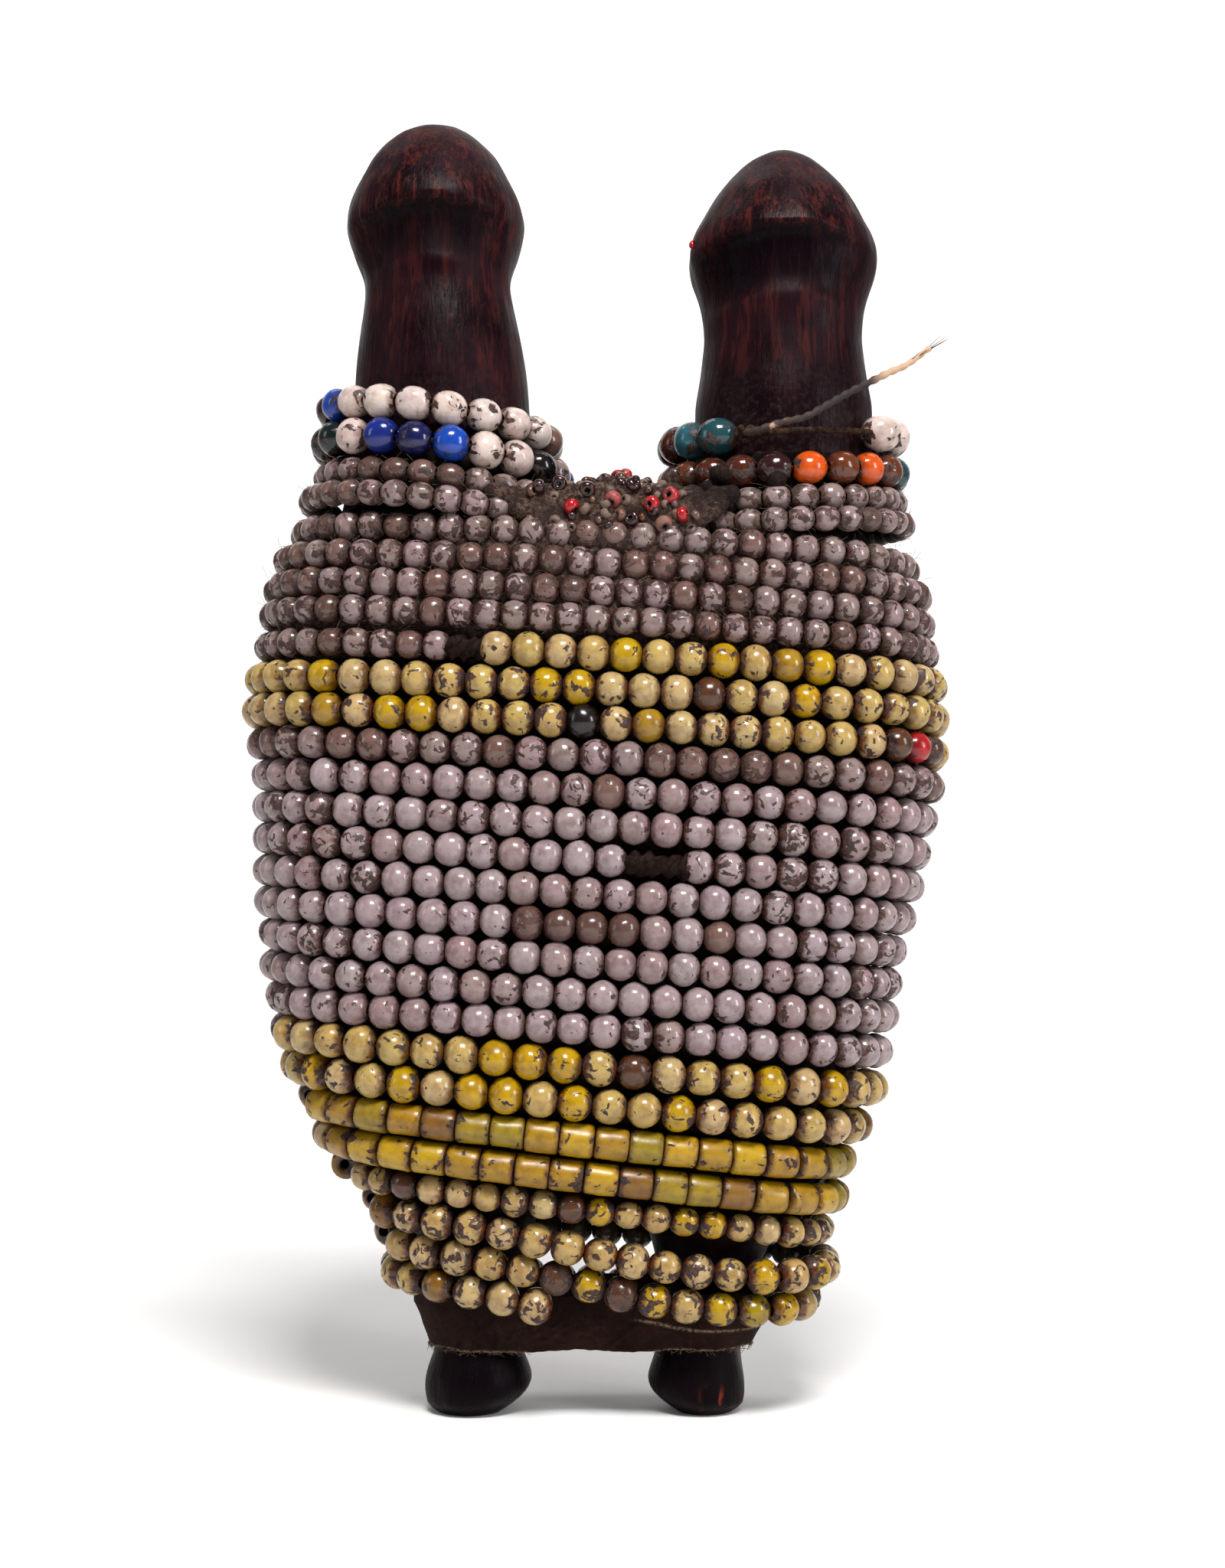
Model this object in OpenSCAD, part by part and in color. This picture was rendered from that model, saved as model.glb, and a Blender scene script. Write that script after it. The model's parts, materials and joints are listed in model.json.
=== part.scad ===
// Twin fertility doll. Two carved wooden figures stand side by side and lean apart. Rag padding and
// a cloth wrap tie them into one body, and strings of glass beads are wound round it from the
// shoulders to the shins. Loose bead loops hang on both necks. The doll stands on its soles at
// z = 0, faces -Y, and its widest row of beads is centred on x = 0. All sizes are in millimetres.

/* [Carved figures] */
// Height of the left figure
left_h = 231.9; // [228:0.1:233]
// Height of the right figure
right_h = 227.3; // [225:0.1:229]
// Centre of the left sole along X
left_foot_x = -21.1; // [-21.4:0.1:-20.8]
// Centre of the right sole along X
right_foot_x = 17.6; // [17:0.1:18]
// Lean of the left figure to the left, in degrees
left_lean = 2.1; // [1.8:0.1:2.4]
// Lean of the right figure's leg and trunk to the right, in degrees
right_lean = 5.3; // [5:0.1:5.6]
// Place of the right figure's upright neck along X
right_neck_x = 33.9; // [33.5:0.1:34.3]

/* [Cloth] */
// Thickness of the cloth wrap under the beads
wrap_wall = 0.8; // [0.6:0.1:1]
// Thickness of the cloth band round the legs
band_wall = 0.8; // [0.6:0.1:0.9]
// Thickness of the two hidden bindings round the trunks
binding_wall = 1.8; // [1.4:0.1:2]

/* [Beads] */
// Hole through every strung bead
hole_d = 1.8; // [1.6:0.1:2]
// Diameter of the bead strings
string_d = 1; // [0.8:0.1:1.1]
// Space between neighbouring beads on a string
bead_gap = 0.3; // [0.25:0.05:0.5]
// Clearance between the beads and the cloth below them
bead_rest = 0.2; // [0.15:0.05:0.3]
// Diameter of the beads in the two white strands at the shoulders
shoulder_bead_d = 4.7; // [4.4:0.1:4.8]
// Diameter of the upper yellow beads
upper_yellow_d = 5.6; // [5.2:0.1:5.7]
// Diameter of the white beads round the body
white_bead_d = 5.5; // [5.2:0.1:5.6]
// Diameter of the lower yellow beads
lower_yellow_d = 6; // [5.6:0.1:6.1]
// Diameter of the short tube beads
tube_bead_d = 5.8; // [5.4:0.1:5.9]
// Diameter of the small yellow beads below the tubes
small_yellow_d = 4.8; // [4.4:0.1:5]
// Diameter of the beads in the two lowest strands
shin_bead_d = 5.7; // [5.4:0.1:5.8]

/* [Cord end] */
// Diameter of the stiff cord end that stands out from the right neck
cord_d = 1.2; // [1:0.1:1.4]
// Diameter of the knot that it comes out of
knot_d = 4; // [3.6:0.1:4.4]

/* [Hidden] */
LOOPS = ["left_loop_1", "left_loop_2", "left_loop_3", "left_loop_4",
         "right_loop_1", "right_loop_2", "right_loop_3", "right_loop_4"];
STRANDS = ["shoulder_strand_1", "shoulder_strand_2", "upper_yellow_strand", "brown_white_strand",
           "white_strand_1", "white_strand_2", "white_strand_3", "lower_yellow_strand",
           "tube_strand", "small_yellow_strand", "loose_strand", "shin_strand"];

// Turning outlines of the figures: height along the figure's own axis, radius
left_outline = [[-3, 8.2], [2.5, 9.7], [6, 9.7], [9, 8.8], [12, 7.7], [16, 7.4], [20, 7.6], [28, 9.5],
                [34, 11.6], [42, 12.6], [60, 14], [90, 15], [130, 15.3], [164, 15.3], [172, 15.8],
                [180, 15.8], [187, 15.5], [194, 14.6], [201, 13.5], [204.7, 13.5], [208, 14.7],
                [211.7, 15.8], [215, 16.2], [218.7, 15.3], [222, 13.7], [225.6, 11.7],
                [229, 8.8], [231, 5.8], [left_h, 3.2]];
right_leg_outline = [[-3, 7.4], [2.5, 9], [6, 8.9], [9, 8.2], [12, 7.6], [16, 7.4], [20, 7.6],
                     [28, 9.7],
                     [34, 11.9], [42, 12.6], [60, 14], [90, 15], [130, 15.3], [154, 15.3],
                     [161, 13.4], [165, 9]];
right_head_outline = [[157, 11.5], [163, 13.8], [170, 15.7], [180, 15.9], [183.5, 15.5],
                      [187, 14.9], [191, 14.4], [194, 14.2], [197.8, 14.6], [201, 15.4],
                      [204.8, 16.7], [208.3, 17], [211.7, 16.3], [215, 14.7], [218.7, 12.7],
                      [222, 10], [225.5, 6.4], [right_h, 3.2]];
// Rounds the outlines between their points
outline_steps = 3;

// Outside of the cloth: height, middle along X, half width, half depth
cloth_rows = [[18, 1.1, 33.5, 12], [25, 1.5, 34, 12.1], [36, 1.5, 37.3, 16.5],
              [47, -1, 42.4, 19.5], [58, -1.2, 47.3, 21.5], [69, -2.1, 50.9, 22.5],
              [80.5, -2.5, 52.2, 23.5], [91.6, -1.6, 54.2, 23.5], [102.7, -0.5, 55.7, 23.5],
              [113.8, 0.7, 56.9, 23.5], [125, 0, 58, 23.5], [136, 0.1, 56.8, 23.5],
              [147, 0.2, 55.4, 22.9], [152.7, -0.3, 52.6, 21.8], [158, 0, 49.3, 20.2],
              [161, 0, 47, 19.4]];
// Radius of the cloth's round sides, as a share of its half depth
side_share = 0.86;
// Lowest and highest part of the padding and of the wrap, and the room between them
padding_z = [36.5, 151];
wrap_z = [37, 154.6];
padding_room = 0.6;
cloth_rings = 14;
cloth_sides = 36;
// Holes for the trunks in the padding: radius, height over their lower end
trunk_hole_z = 30;
trunk_hole_outline = [[0, 0], [13.5, 0], [15.5, 60], [15.8, 140], [0, 140]];
// Hidden bindings: inner radius at each trunk, height of the cloth, lower edges, and their room
binding_r = 16.3;
binding_h = 14;
lower_binding_z = 60;
upper_binding_z = 118;
binding_room = 0.15;
// Cones of cloth round the necks: radius, height
left_neck_x = -27.8;
left_wrap_outline = [[16.1, 161.6], [18.4, 161.6], [18, 164], [17.3, 167.2], [17.1, 170.6],
                     [16.1, 170.6]];
right_wrap_outline = [[16.2, 161.6], [17.6, 161.6], [17.4, 163.2], [16.8, 165], [16.8, 170.4],
                      [16.2, 170.4]];
// Leg band at its lower and upper edge: middle along X, height, half width, half depth
band_low = [-1, 12, 29.1, 9.9];
band_high = [0.2, 19.5, 32.8, 11];
band_sides = 72;

// Height of the winding at each turn, and how much it falls to the right at each height
wind_rows = [[0, 155.7], [2.25, 144.6], [3.25, 139.8], [7.25, 116.4], [15.25, 70.3],
             [19.25, 44.6], [23.25, 20.3], [24.5, 12]];
wind_fall = [[30, 0.11], [50, 0.09], [75, 0.06], [95, 0.053], [130, 0.035], [160, 0.04]];
// First turn, last turn, colour. A whole turn starts at the left, and a quarter on is the front.
strand_data = [[0, 2.01, "Gainsboro"], [2.03, 4.165, "Gainsboro"], [4.183, 6.98, "Khaki"],
               [7, 7.985, "RosyBrown"], [8.005, 10.272, "Gainsboro"], [10.305, 13.01, "Gainsboro"],
               [13.03, 16.01, "Gainsboro"], [16.03, 18, "Goldenrod"], [18.04, 20, "DarkKhaki"],
               [20.04, 21, "Gold"], [21.04, 22, "Tan"], [22.04, 23.2, "Tan"]];
strand_d = [shoulder_bead_d, shoulder_bead_d, upper_yellow_d, white_bead_d, white_bead_d,
            white_bead_d, white_bead_d, lower_yellow_d, tube_bead_d, small_yellow_d, shin_bead_d,
            shin_bead_d];
// Strands of tube beads and the two loose ones
tube_index = 8;
loose_index = 10;
shin_index = 11;
// Where round a turn the loose strands sag, part at the back and stand out: middle and half length
sag_span = [0.33, 0.22];
back_span = [0.75, 0.25];
side_span = [0.5, 0.2];
// How far they sag in front, how far they part at the back, and how far the upper one stands out
loose_drop = 2.6;
shin_drop = 3;
back_rise = 0.6;
back_fall = 3;
loose_out = 2.4;
// Lengths of round and tube beads as shares of their diameter, and how much the beads differ
round_share = 0.93;
tube_share = 0.88;
size_spread = 0.08;
// Extra room between the tube beads and between those that turn the tightest corners
tube_extra_gap = 0.5;
tight_extra_gap = 0.15;
steps_per_turn = 96;

// Loops on the necks: centre, radius through the beads, bead diameter, tilt about X and Y, colour
loop_data = [[[-28.2, 0, 177.4], 19.7, 5.9, 0, 8, "SteelBlue"],
             [[-27.9, 0, 171.1], 20.9, 6.2, 0, 8, "MidnightBlue"],
             [[-27.2, 0, 165.1], 21.6, 4.7, 0, 7.5, "Gainsboro"],
             [[-27.4, 0, 160.8], 24.2, 4.4, 0, 7, "Gainsboro"],
             [[33.9, 0, 174.8], 19.8, 6.2, 5, -2, "DarkCyan"],
             [[33.9, 0, 168.3], 20, 5.8, 5, -2, "Peru"],
             [[33.6, 0, 163], 20.5, 4.6, 4.5, -2, "Gainsboro"],
             [[32.9, 0, 158.9], 22.8, 4.2, 4, -2, "Gainsboro"]];
// The bare stretch of one loop, in degrees round it, with its knot at the left end
bare_loop = 4;
bare_from = 240;
bare_to = 316;
knot_place = loop_point(bare_loop, bare_from + 7);

// Route of the stiff cord end from the knot to its frayed tip
cord_route = [[26, -19.2, 172.8], [28, -21.4, 172.8], [31.5, -22.4, 173.8], [36, -22.8, 174.8],
              [39.5, -22.8, 176.7], [43.5, -22.6, 179], [47, -22.4, 180.8], [50.5, -22, 182.6],
              [53.5, -21.6, 184], [57.5, -21, 187]];
cord_sides = 8;
string_sides = 4;

// Seed beads pressed into the crust: place, diameter
seed_beads = [[-9.5, -21, 162.6, 2.8], [-6.2, -21.6, 163, 3], [-4, -22.5, 159, 3],
              [-1.2, -21.6, 162, 3.2], [0.9, -19.4, 165, 3], [4.2, -18.9, 165.4, 2.8],
              [3, -22.3, 160.2, 3.2], [6.6, -20.8, 162.8, 3], [10.2, -20.6, 163.4, 3],
              [13, -22, 161, 3.2], [15.2, -19.6, 163.4, 2.8], [6.2, -22.9, 157, 3],
              [9.6, -22.5, 159.4, 3], [11.8, -22.7, 156, 3.2], [14.8, -22.3, 157.6, 2.8],
              [4, -2, 168.2, 3], [7, 6, 168, 2.8], [1, 11, 168, 3.2], [5, -9, 168, 3],
              [8, 14, 167, 2.8]];

$fn = 48;

// Small helpers for curves and placing -------------------------------------------------------

// A smooth curve through the middle two of four values
function curve_between(a, b, c, d, t) =
    b + t * ((c - a) / 2 + t * (a - 2.5 * b + 2 * c - d / 2 + t * (1.5 * b - 1.5 * c - a / 2 + d / 2)));

// Adds smooth in-between points to an outline
function rounded(points, steps) =
    let(last = len(points) - 1)
    concat([for (i = [0 : last - 1], k = [0 : steps - 1])
                curve_between(points[max(i - 1, 0)], points[i], points[i + 1],
                              points[min(i + 2, last)], k / steps)],
           [points[last]]);

// Stands its children at a point with their Z along a direction
module stand_at(place, direction)
    translate(place)
    rotate([0, acos(direction[2] / norm(direction)), atan2(direction[1], direction[0])])
        children();

// A tube swept along a route, its rings square to the route
module swept_tube(route, radius, sides) {
    last = len(route) - 1;
    rings = [for (i = [0 : last])
        let(along = route[min(i + 1, last)] - route[max(i - 1, 0)],
            side = cross(along, [0, 0, 1]) / norm(cross(along, [0, 0, 1])),
            up = cross(side, along) / norm(cross(side, along)))
        each [for (k = [0 : sides - 1])
            route[i] + radius * (cos(360 * k / sides) * side + sin(360 * k / sides) * up)]];
    polyhedron(rings, tube_faces(len(route), sides));
}

// Faces of a closed stack of rings
function tube_faces(ring_count, sides) =
    let(top = (ring_count - 1) * sides)
    concat([[for (k = [0 : sides - 1]) k]],
           [[for (k = [sides - 1 : -1 : 0]) top + k]],
           [for (i = [0 : ring_count - 2], k = [0 : sides - 1])
                let(a = i * sides + k, b = i * sides + (k + 1) % sides)
                each [[a, a + sides, b + sides], [a, b + sides, b]]]);

// Section of the wrapped body ----------------------------------------------------------------

function cloth_mid(z) = lookup(z, [for (row = cloth_rows) [row[0], row[1]]]);
function cloth_half_w(z) = lookup(z, [for (row = cloth_rows) [row[0], row[2]]]);
function cloth_half_d(z) = lookup(z, [for (row = cloth_rows) [row[0], row[3]]]);

// An oval of four arcs, as [distance of the side centres, side radius, front radius, joint angle]
function oval(half_w, half_d) =
    let(side_r = side_share * half_d,
        reach = half_w - side_r,
        front_r = (reach * reach + half_d * half_d - side_r * side_r) / (2 * (half_d - side_r)))
    [reach, side_r, front_r, atan2(front_r - half_d, reach), half_d];

// Whether the oval's surface facing an angle lies on its long front or back arc
function faces_front(shape, angle) = abs(sin(angle)) > sin(shape[3]);

// Point of an oval whose surface faces an angle, moved outwards
function oval_point(shape, angle, out) =
    let(facing = [cos(angle), sin(angle)])
    faces_front(shape, angle)
        ? [0, sign(sin(angle)) * (shape[4] - shape[2])] + (shape[2] + out) * facing
        : [sign(cos(angle)) * shape[0], 0] + (shape[1] + out) * facing;

// How far an oval reaches towards an angle
function oval_reach(shape, angle) =
    oval_point(shape, angle, 0) * [cos(angle), sin(angle)];

// Angle that the oval faces at a share of the way round, from its left end past the front
function facing_at(shape, out, share) =
    let(quarter = floor(share * 4),
        within = share * 4 - quarter,
        side_length = (shape[1] + out) * shape[3],
        front_length = (shape[2] + out) * (90 - shape[3]),
        way = (quarter % 2 == 0 ? within : 1 - within) * (side_length + front_length),
        turned = way < side_length ? way / (shape[1] + out)
                                   : shape[3] + (way - side_length) / (shape[2] + out))
    quarter % 2 == 0 ? 180 + 90 * quarter + turned : 180 + 90 * (quarter + 1) - turned;

// Closed solid inside the cloth's outside, between two heights, shrunk by an inset
module cloth_solid(z_range, inset) {
    heights = [for (i = [0 : cloth_rings]) z_range[0] + (z_range[1] - z_range[0]) * i / cloth_rings];
    rings = [for (z = heights)
        let(shape = oval(cloth_half_w(z), cloth_half_d(z)))
        each [for (k = [0 : cloth_sides - 1])
            let(p = oval_point(shape, facing_at(shape, 0, (k + 0.5) / cloth_sides), -inset))
            [p[0] + cloth_mid(z), p[1], z]]];
    polyhedron(rings, tube_faces(cloth_rings + 1, cloth_sides));
}

// The winding: one long line round the cloth --------------------------------------------------

// A smooth rise and fall over a span of the turn
function swell(share, span) =
    abs(share - span[0]) < span[1] ? (1 + cos(180 * (share - span[0]) / span[1])) / 2 : 0;

// Centre of the string at a turn. Index picks the strand, out is its distance from the cloth.
function wind_point(turn, out, index) =
    let(share = turn - floor(turn),
        loose = index == loose_index ? 1 : 0,
        sag = index == loose_index ? loose_drop : index == shin_index ? shin_drop : 0,
        spread = index == loose_index ? back_rise : index == shin_index ? -back_fall : 0,
        level = lookup(turn, wind_rows) - sag * swell(share, sag_span)
                + spread * swell(share, back_span),
        rough = oval(cloth_half_w(level), cloth_half_d(level)),
        rough_x = oval_point(rough, facing_at(rough, out, share), out)[0],
        z = level - lookup(level, wind_fall) * rough_x,
        shape = oval(cloth_half_w(z), cloth_half_d(z)),
        angle = facing_at(shape, out, share),
        above = oval(cloth_half_w(z + 1), cloth_half_d(z + 1)),
        below = oval(cloth_half_w(z - 1), cloth_half_d(z - 1)),
        slope = (oval_reach(above, angle) - oval_reach(below, angle)) / 2,
        stand_off = out * sqrt(1 + slope * slope) + loose * loose_out * swell(share, side_span),
        p = oval_point(shape, angle, stand_off))
    [p[0] + cloth_mid(z), p[1], z];

// Pairs of length along a strand and turn, for placing beads evenly
function strand_lengths(index) =
    let(first = strand_data[index][0],
        last = strand_data[index][1],
        out = strand_out(index),
        steps = ceil((last - first) * steps_per_turn),
        turns = [for (i = [0 : steps]) first + (last - first) * i / steps],
        points = [for (turn = turns) wind_point(turn, out, index)])
    [for (i = 0, length = 0; i <= steps;
          length = length + (i < steps ? norm(points[i + 1] - points[i]) : 0), i = i + 1)
        [length, turns[i]]];

function strand_out(index) = strand_d[index] / 2 + bead_rest;

// Centres of a strand's beads, evenly spaced
function strand_centres(index) =
    let(lengths = strand_lengths(index),
        whole = lengths[len(lengths) - 1][0],
        share = index == tube_index ? tube_share : round_share,
        count = floor(whole / (share * strand_d[index] + strand_gap(index))))
    [for (i = [0 : count - 1])
        wind_point(lookup((i + 0.5) * whole / count, lengths), strand_out(index), index)];

function strand_gap(index) =
    bead_gap + (index == tube_index ? tube_extra_gap : index > tube_index ? tight_extra_gap : 0);

// Beads and strings ----------------------------------------------------------------------------

// A round glass bead with flat rims round its hole
module round_bead(d, length)
    rotate_extrude($fn = 20)
    intersection() {
        circle(d = d, $fn = 20);
        translate([hole_d / 2, -length / 2])
            square([d, length]);
    }

// A short tube bead with chamfered ends
module tube_bead(d, length) {
    chamfer = 0.5;
    rotate_extrude($fn = 20)
        polygon([[hole_d / 2, -length / 2], [d / 2 - chamfer, -length / 2],
                 [d / 2, chamfer - length / 2], [d / 2, length / 2 - chamfer],
                 [d / 2 - chamfer, length / 2], [hole_d / 2, length / 2]]);
}

// All beads of one strand, each a little different in size
module strand_beads(index) {
    centres = strand_centres(index);
    last = len(centres) - 1;
    sizes = rands(1 - size_spread, 1, last + 1, 100 + index);
    color(strand_data[index][2])
    for (i = [0 : last])
        stand_at(centres[i], centres[min(i + 1, last)] - centres[max(i - 1, 0)])
            if (index == tube_index)
                tube_bead(strand_d[index] * sizes[i], tube_share * strand_d[index] * sizes[i]);
            else
                round_bead(strand_d[index] * sizes[i], round_share * strand_d[index] * sizes[i]);
}

// The string through a strand, bending at each bead's middle
module strand_string(index)
    color("Sienna")
        swept_tube(strand_centres(index), string_d / 2, string_sides);

// Point of a neck loop at an angle round it
function loop_point(index, angle) =
    let(data = loop_data[index],
        r = data[1],
        flat = [r * cos(angle), r * sin(angle), 0],
        about_x = [flat[0], flat[1] * cos(data[3]), flat[1] * sin(data[3])])
    data[0] + [about_x[0] * cos(data[4]) + about_x[2] * sin(data[4]), about_x[1],
               about_x[2] * cos(data[4]) - about_x[0] * sin(data[4])];

// Puts its children in the plane of a neck loop
module in_loop(index)
    translate(loop_data[index][0])
    rotate([loop_data[index][3], loop_data[index][4], 0])
        children();

// All beads of one neck loop, from its front or from the end of its bare stretch
module loop_beads(index) {
    d = loop_data[index][2];
    r = loop_data[index][1];
    bare = index == bare_loop ? bare_to - bare_from : 0;
    start = index == bare_loop ? bare_to : 270;
    arc = 2 * PI * r * (360 - bare) / 360;
    count = floor(arc / (round_share * d + bead_gap + tight_extra_gap));
    sizes = rands(1 - size_spread, 1, count, 200 + index);
    color(loop_data[index][5])
    in_loop(index)
        for (i = [0 : count - 1])
            rotate([0, 0, start + (i + 0.5) * (360 - bare) / count])
            translate([r, 0, 0])
            rotate([90, 0, 0])
                round_bead(d * sizes[i], round_share * d * sizes[i]);
}

// The string of one neck loop
module loop_string(index)
    color("Sienna")
    in_loop(index)
    rotate_extrude($fn = 72)
    translate([loop_data[index][1], 0])
        circle(d = string_d, $fn = 16);

// Wooden figures --------------------------------------------------------------------------------

// Cuts everything below the floor plane off, so that the soles are flat
module cut_at_floor()
    difference() {
        children();
        translate([0, 0, -10])
            cube([160, 160, 20], center = true);
    }

// A turned body of an outline on an axis that leans to the right from a foot
module turned(outline, foot_x, lean)
    translate([foot_x, 0, 0])
    rotate([0, lean, 0])
    rotate_extrude($fn = 64)
        polygon(concat([[0, outline[0][0]]],
                       [for (p = rounded(outline, outline_steps)) [p[1], p[0]]],
                       [[0, outline[len(outline) - 1][0]]]));

module left_figure()
    color([0.2, 0.11, 0.1])
    cut_at_floor()
        turned(left_outline, left_foot_x, -left_lean);

module right_figure()
    color([0.2, 0.11, 0.1])
    cut_at_floor() {
        turned(right_leg_outline, right_foot_x, right_lean);
        turned(right_head_outline, right_neck_x, 0);
    }

// Cloth -----------------------------------------------------------------------------------------

// A leaning round hole for a trunk
module trunk_hole(foot_x, lean) {
    translate([foot_x, 0, 0])
    rotate([0, lean, 0])
    translate([0, 0, trunk_hole_z])
        rotate_extrude($fn = 64)
            polygon(trunk_hole_outline);
}

// A band round both trunks: half-round ends joined by straight runs
module band(z, height, left_x, right_x, inner_r, wall) {
    span = right_x - left_x;
    translate([left_x, 0, z])
    rotate([0, 0, 90])
    rotate_extrude(angle = 180, $fn = 64)
    translate([inner_r, 0])
        square([wall, height]);
    translate([right_x, 0, z])
    rotate([0, 0, -90])
    rotate_extrude(angle = 180, $fn = 64)
    translate([inner_r, 0])
        square([wall, height]);
    for (y = [-inner_r - wall, inner_r])
        translate([left_x, y, z])
            cube([span, wall, height]);
}

// A hidden binding, made larger by a clearance to cut its room in the padding
module binding(z, clearance) {
    left_x = left_foot_x - tan(left_lean) * (z + binding_h / 2);
    right_x = right_foot_x + tan(right_lean) * (z + binding_h / 2);
    band(z - clearance, binding_h + 2 * clearance, left_x, right_x, binding_r - clearance,
         binding_wall + 2 * clearance);
}

module lower_binding(clearance = 0)
    color("DimGray")
        binding(lower_binding_z, clearance);

module upper_binding(clearance = 0)
    color("DimGray")
        binding(upper_binding_z, clearance);

module rag_padding()
    color("Tan")
    difference() {
        cloth_solid(padding_z, wrap_wall + padding_room);
        trunk_hole(left_foot_x, -left_lean);
        trunk_hole(right_foot_x, right_lean);
        lower_binding(binding_room);
        upper_binding(binding_room);
    }

module cloth_wrap()
    color("SaddleBrown")
    difference() {
        cloth_solid(wrap_z, 0);
        cloth_solid([wrap_z[0] - 1, wrap_z[1] + 1], wrap_wall);
    }

// A cone of cloth round a neck, under the shoulder loops
module neck_wrap(x, outline)
    color([0.35, 0.25, 0.2])
    translate([x, 0, 0])
    rotate_extrude($fn = 64)
        polygon(outline);

module left_neck_wrap()
    neck_wrap(left_neck_x, left_wrap_outline);

module right_neck_wrap()
    neck_wrap(right_neck_x, right_wrap_outline);

// Cloth band round the shins, wider at the top
module leg_band() {
    module flared(inset, extra)
        polyhedron([for (edge = [[band_low, -extra], [band_high, extra]])
                        let(ring = edge[0], shape = oval(ring[2], ring[3]))
                        each [for (k = [0 : band_sides - 1])
                            let(p = oval_point(shape, facing_at(shape, 0, (k + 0.5) / band_sides),
                                               -inset))
                            [p[0] + ring[0], p[1], ring[1] + edge[1]]]],
                   tube_faces(2, band_sides));
    color([0.3, 0.22, 0.17])
    difference() {
        flared(0, 0);
        flared(band_wall, 1);
    }
}

// Crust, seed beads, knot and cord end ------------------------------------------------------------

// A lump between opposite corners, rounded by a radius
module lump(from, to, radius)
    hull()
        for (x = [from[0] + radius, to[0] - radius], y = [from[1] + radius, to[1] - radius],
             z = [from[2] + radius, to[2] - radius])
            translate([x, y, z])
                sphere(r = radius, $fn = 16);

module dirt_crust()
    color([0.45, 0.38, 0.33]) {
        lump([-9, -22.5, 155.5], [16, 22.5, 163.4], 3.5);
        lump([-2.8, -18.5, 158], [10.6, 18.5, 168.4], 4);
    }

module red_seed_beads()
    color("Firebrick")
    for (bead = seed_beads)
        translate([bead[0], bead[1], bead[2]])
        rotate([25 * bead[0], 40, 0])
        rotate_extrude($fn = 20)
        intersection() {
            circle(d = bead[3], $fn = 20);
            translate([0.4, -0.4 * bead[3]])
                square([bead[3], 0.8 * bead[3]]);
        }

module loop_knot()
    color("Sienna")
    translate(knot_place)
        sphere(d = knot_d, $fn = 32);

module cord_end()
    color([0.3, 0.2, 0.12])
        swept_tube(cord_route, cord_d / 2, cord_sides);

left_figure();
right_figure();
rag_padding();
cloth_wrap();
upper_binding();
lower_binding();
left_neck_wrap();
right_neck_wrap();
leg_band();
dirt_crust();
red_seed_beads();
loop_knot();
cord_end();
for (i = [0 : len(LOOPS) - 1]) {
    loop_beads(i);
    loop_string(i);
}
for (i = [0 : len(STRANDS) - 1]) {
    strand_beads(i);
    strand_string(i);
}
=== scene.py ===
import json
import math

import bmesh
import bpy
import numpy as np
from mathutils import Euler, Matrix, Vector, noise
from mathutils.bvhtree import BVHTree


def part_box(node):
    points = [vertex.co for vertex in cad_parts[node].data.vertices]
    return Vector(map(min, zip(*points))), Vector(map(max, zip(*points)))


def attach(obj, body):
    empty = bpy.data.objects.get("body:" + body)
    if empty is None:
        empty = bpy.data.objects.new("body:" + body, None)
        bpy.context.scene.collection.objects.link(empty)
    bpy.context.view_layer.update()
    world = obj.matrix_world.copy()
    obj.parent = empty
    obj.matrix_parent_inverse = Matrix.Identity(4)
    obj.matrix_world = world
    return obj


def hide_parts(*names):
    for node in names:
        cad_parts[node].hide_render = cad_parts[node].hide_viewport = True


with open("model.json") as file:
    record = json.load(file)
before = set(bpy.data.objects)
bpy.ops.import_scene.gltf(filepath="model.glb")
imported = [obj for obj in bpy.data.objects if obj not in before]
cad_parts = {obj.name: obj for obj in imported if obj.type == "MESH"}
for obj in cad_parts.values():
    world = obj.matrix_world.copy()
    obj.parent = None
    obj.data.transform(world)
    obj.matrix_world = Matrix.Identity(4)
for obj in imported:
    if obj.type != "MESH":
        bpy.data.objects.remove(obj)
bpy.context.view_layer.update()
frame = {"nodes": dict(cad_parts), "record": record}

MM = 0.001
rng = np.random.default_rng(11)


# ---- Camera, at the height of the doll's middle and facing it squarely

CAMERA_DISTANCE = 0.395
CAMERA_HEIGHT = 0.0916
CAMERA_X = 0.003
LENS_MM = 50
SENSOR_MM = 36
SHIFT_UP = 0.0762


def add_object(name, data):
    thing = bpy.data.objects.new(name, data)
    bpy.context.collection.objects.link(thing)
    return thing


def make_camera():
    data = bpy.data.cameras.new("camera")
    data.lens = LENS_MM
    data.sensor_width = SENSOR_MM
    data.shift_y = SHIFT_UP
    camera = add_object("camera", data)
    camera.location = (CAMERA_X, -CAMERA_DISTANCE, CAMERA_HEIGHT)
    camera.rotation_euler = (math.radians(90), 0, 0)
    bpy.context.scene.camera = camera


make_camera()


# ---- Mesh helpers

ATTRIBUTE_KINDS = {1: ("FLOAT", "value"), 3: ("FLOAT_VECTOR", "vector"), 4: ("FLOAT_COLOR", "color")}


def put_attributes(mesh, attributes):
    """Point attributes of a mesh, from arrays of numbers, vectors or colours."""
    for key, values in attributes.items():
        values = np.asarray(values, dtype=np.float32)
        kind, field = ATTRIBUTE_KINDS[1 if values.ndim == 1 else values.shape[1]]
        mesh.attributes.new(key, kind, "POINT").data.foreach_set(field, values.ravel())


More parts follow.
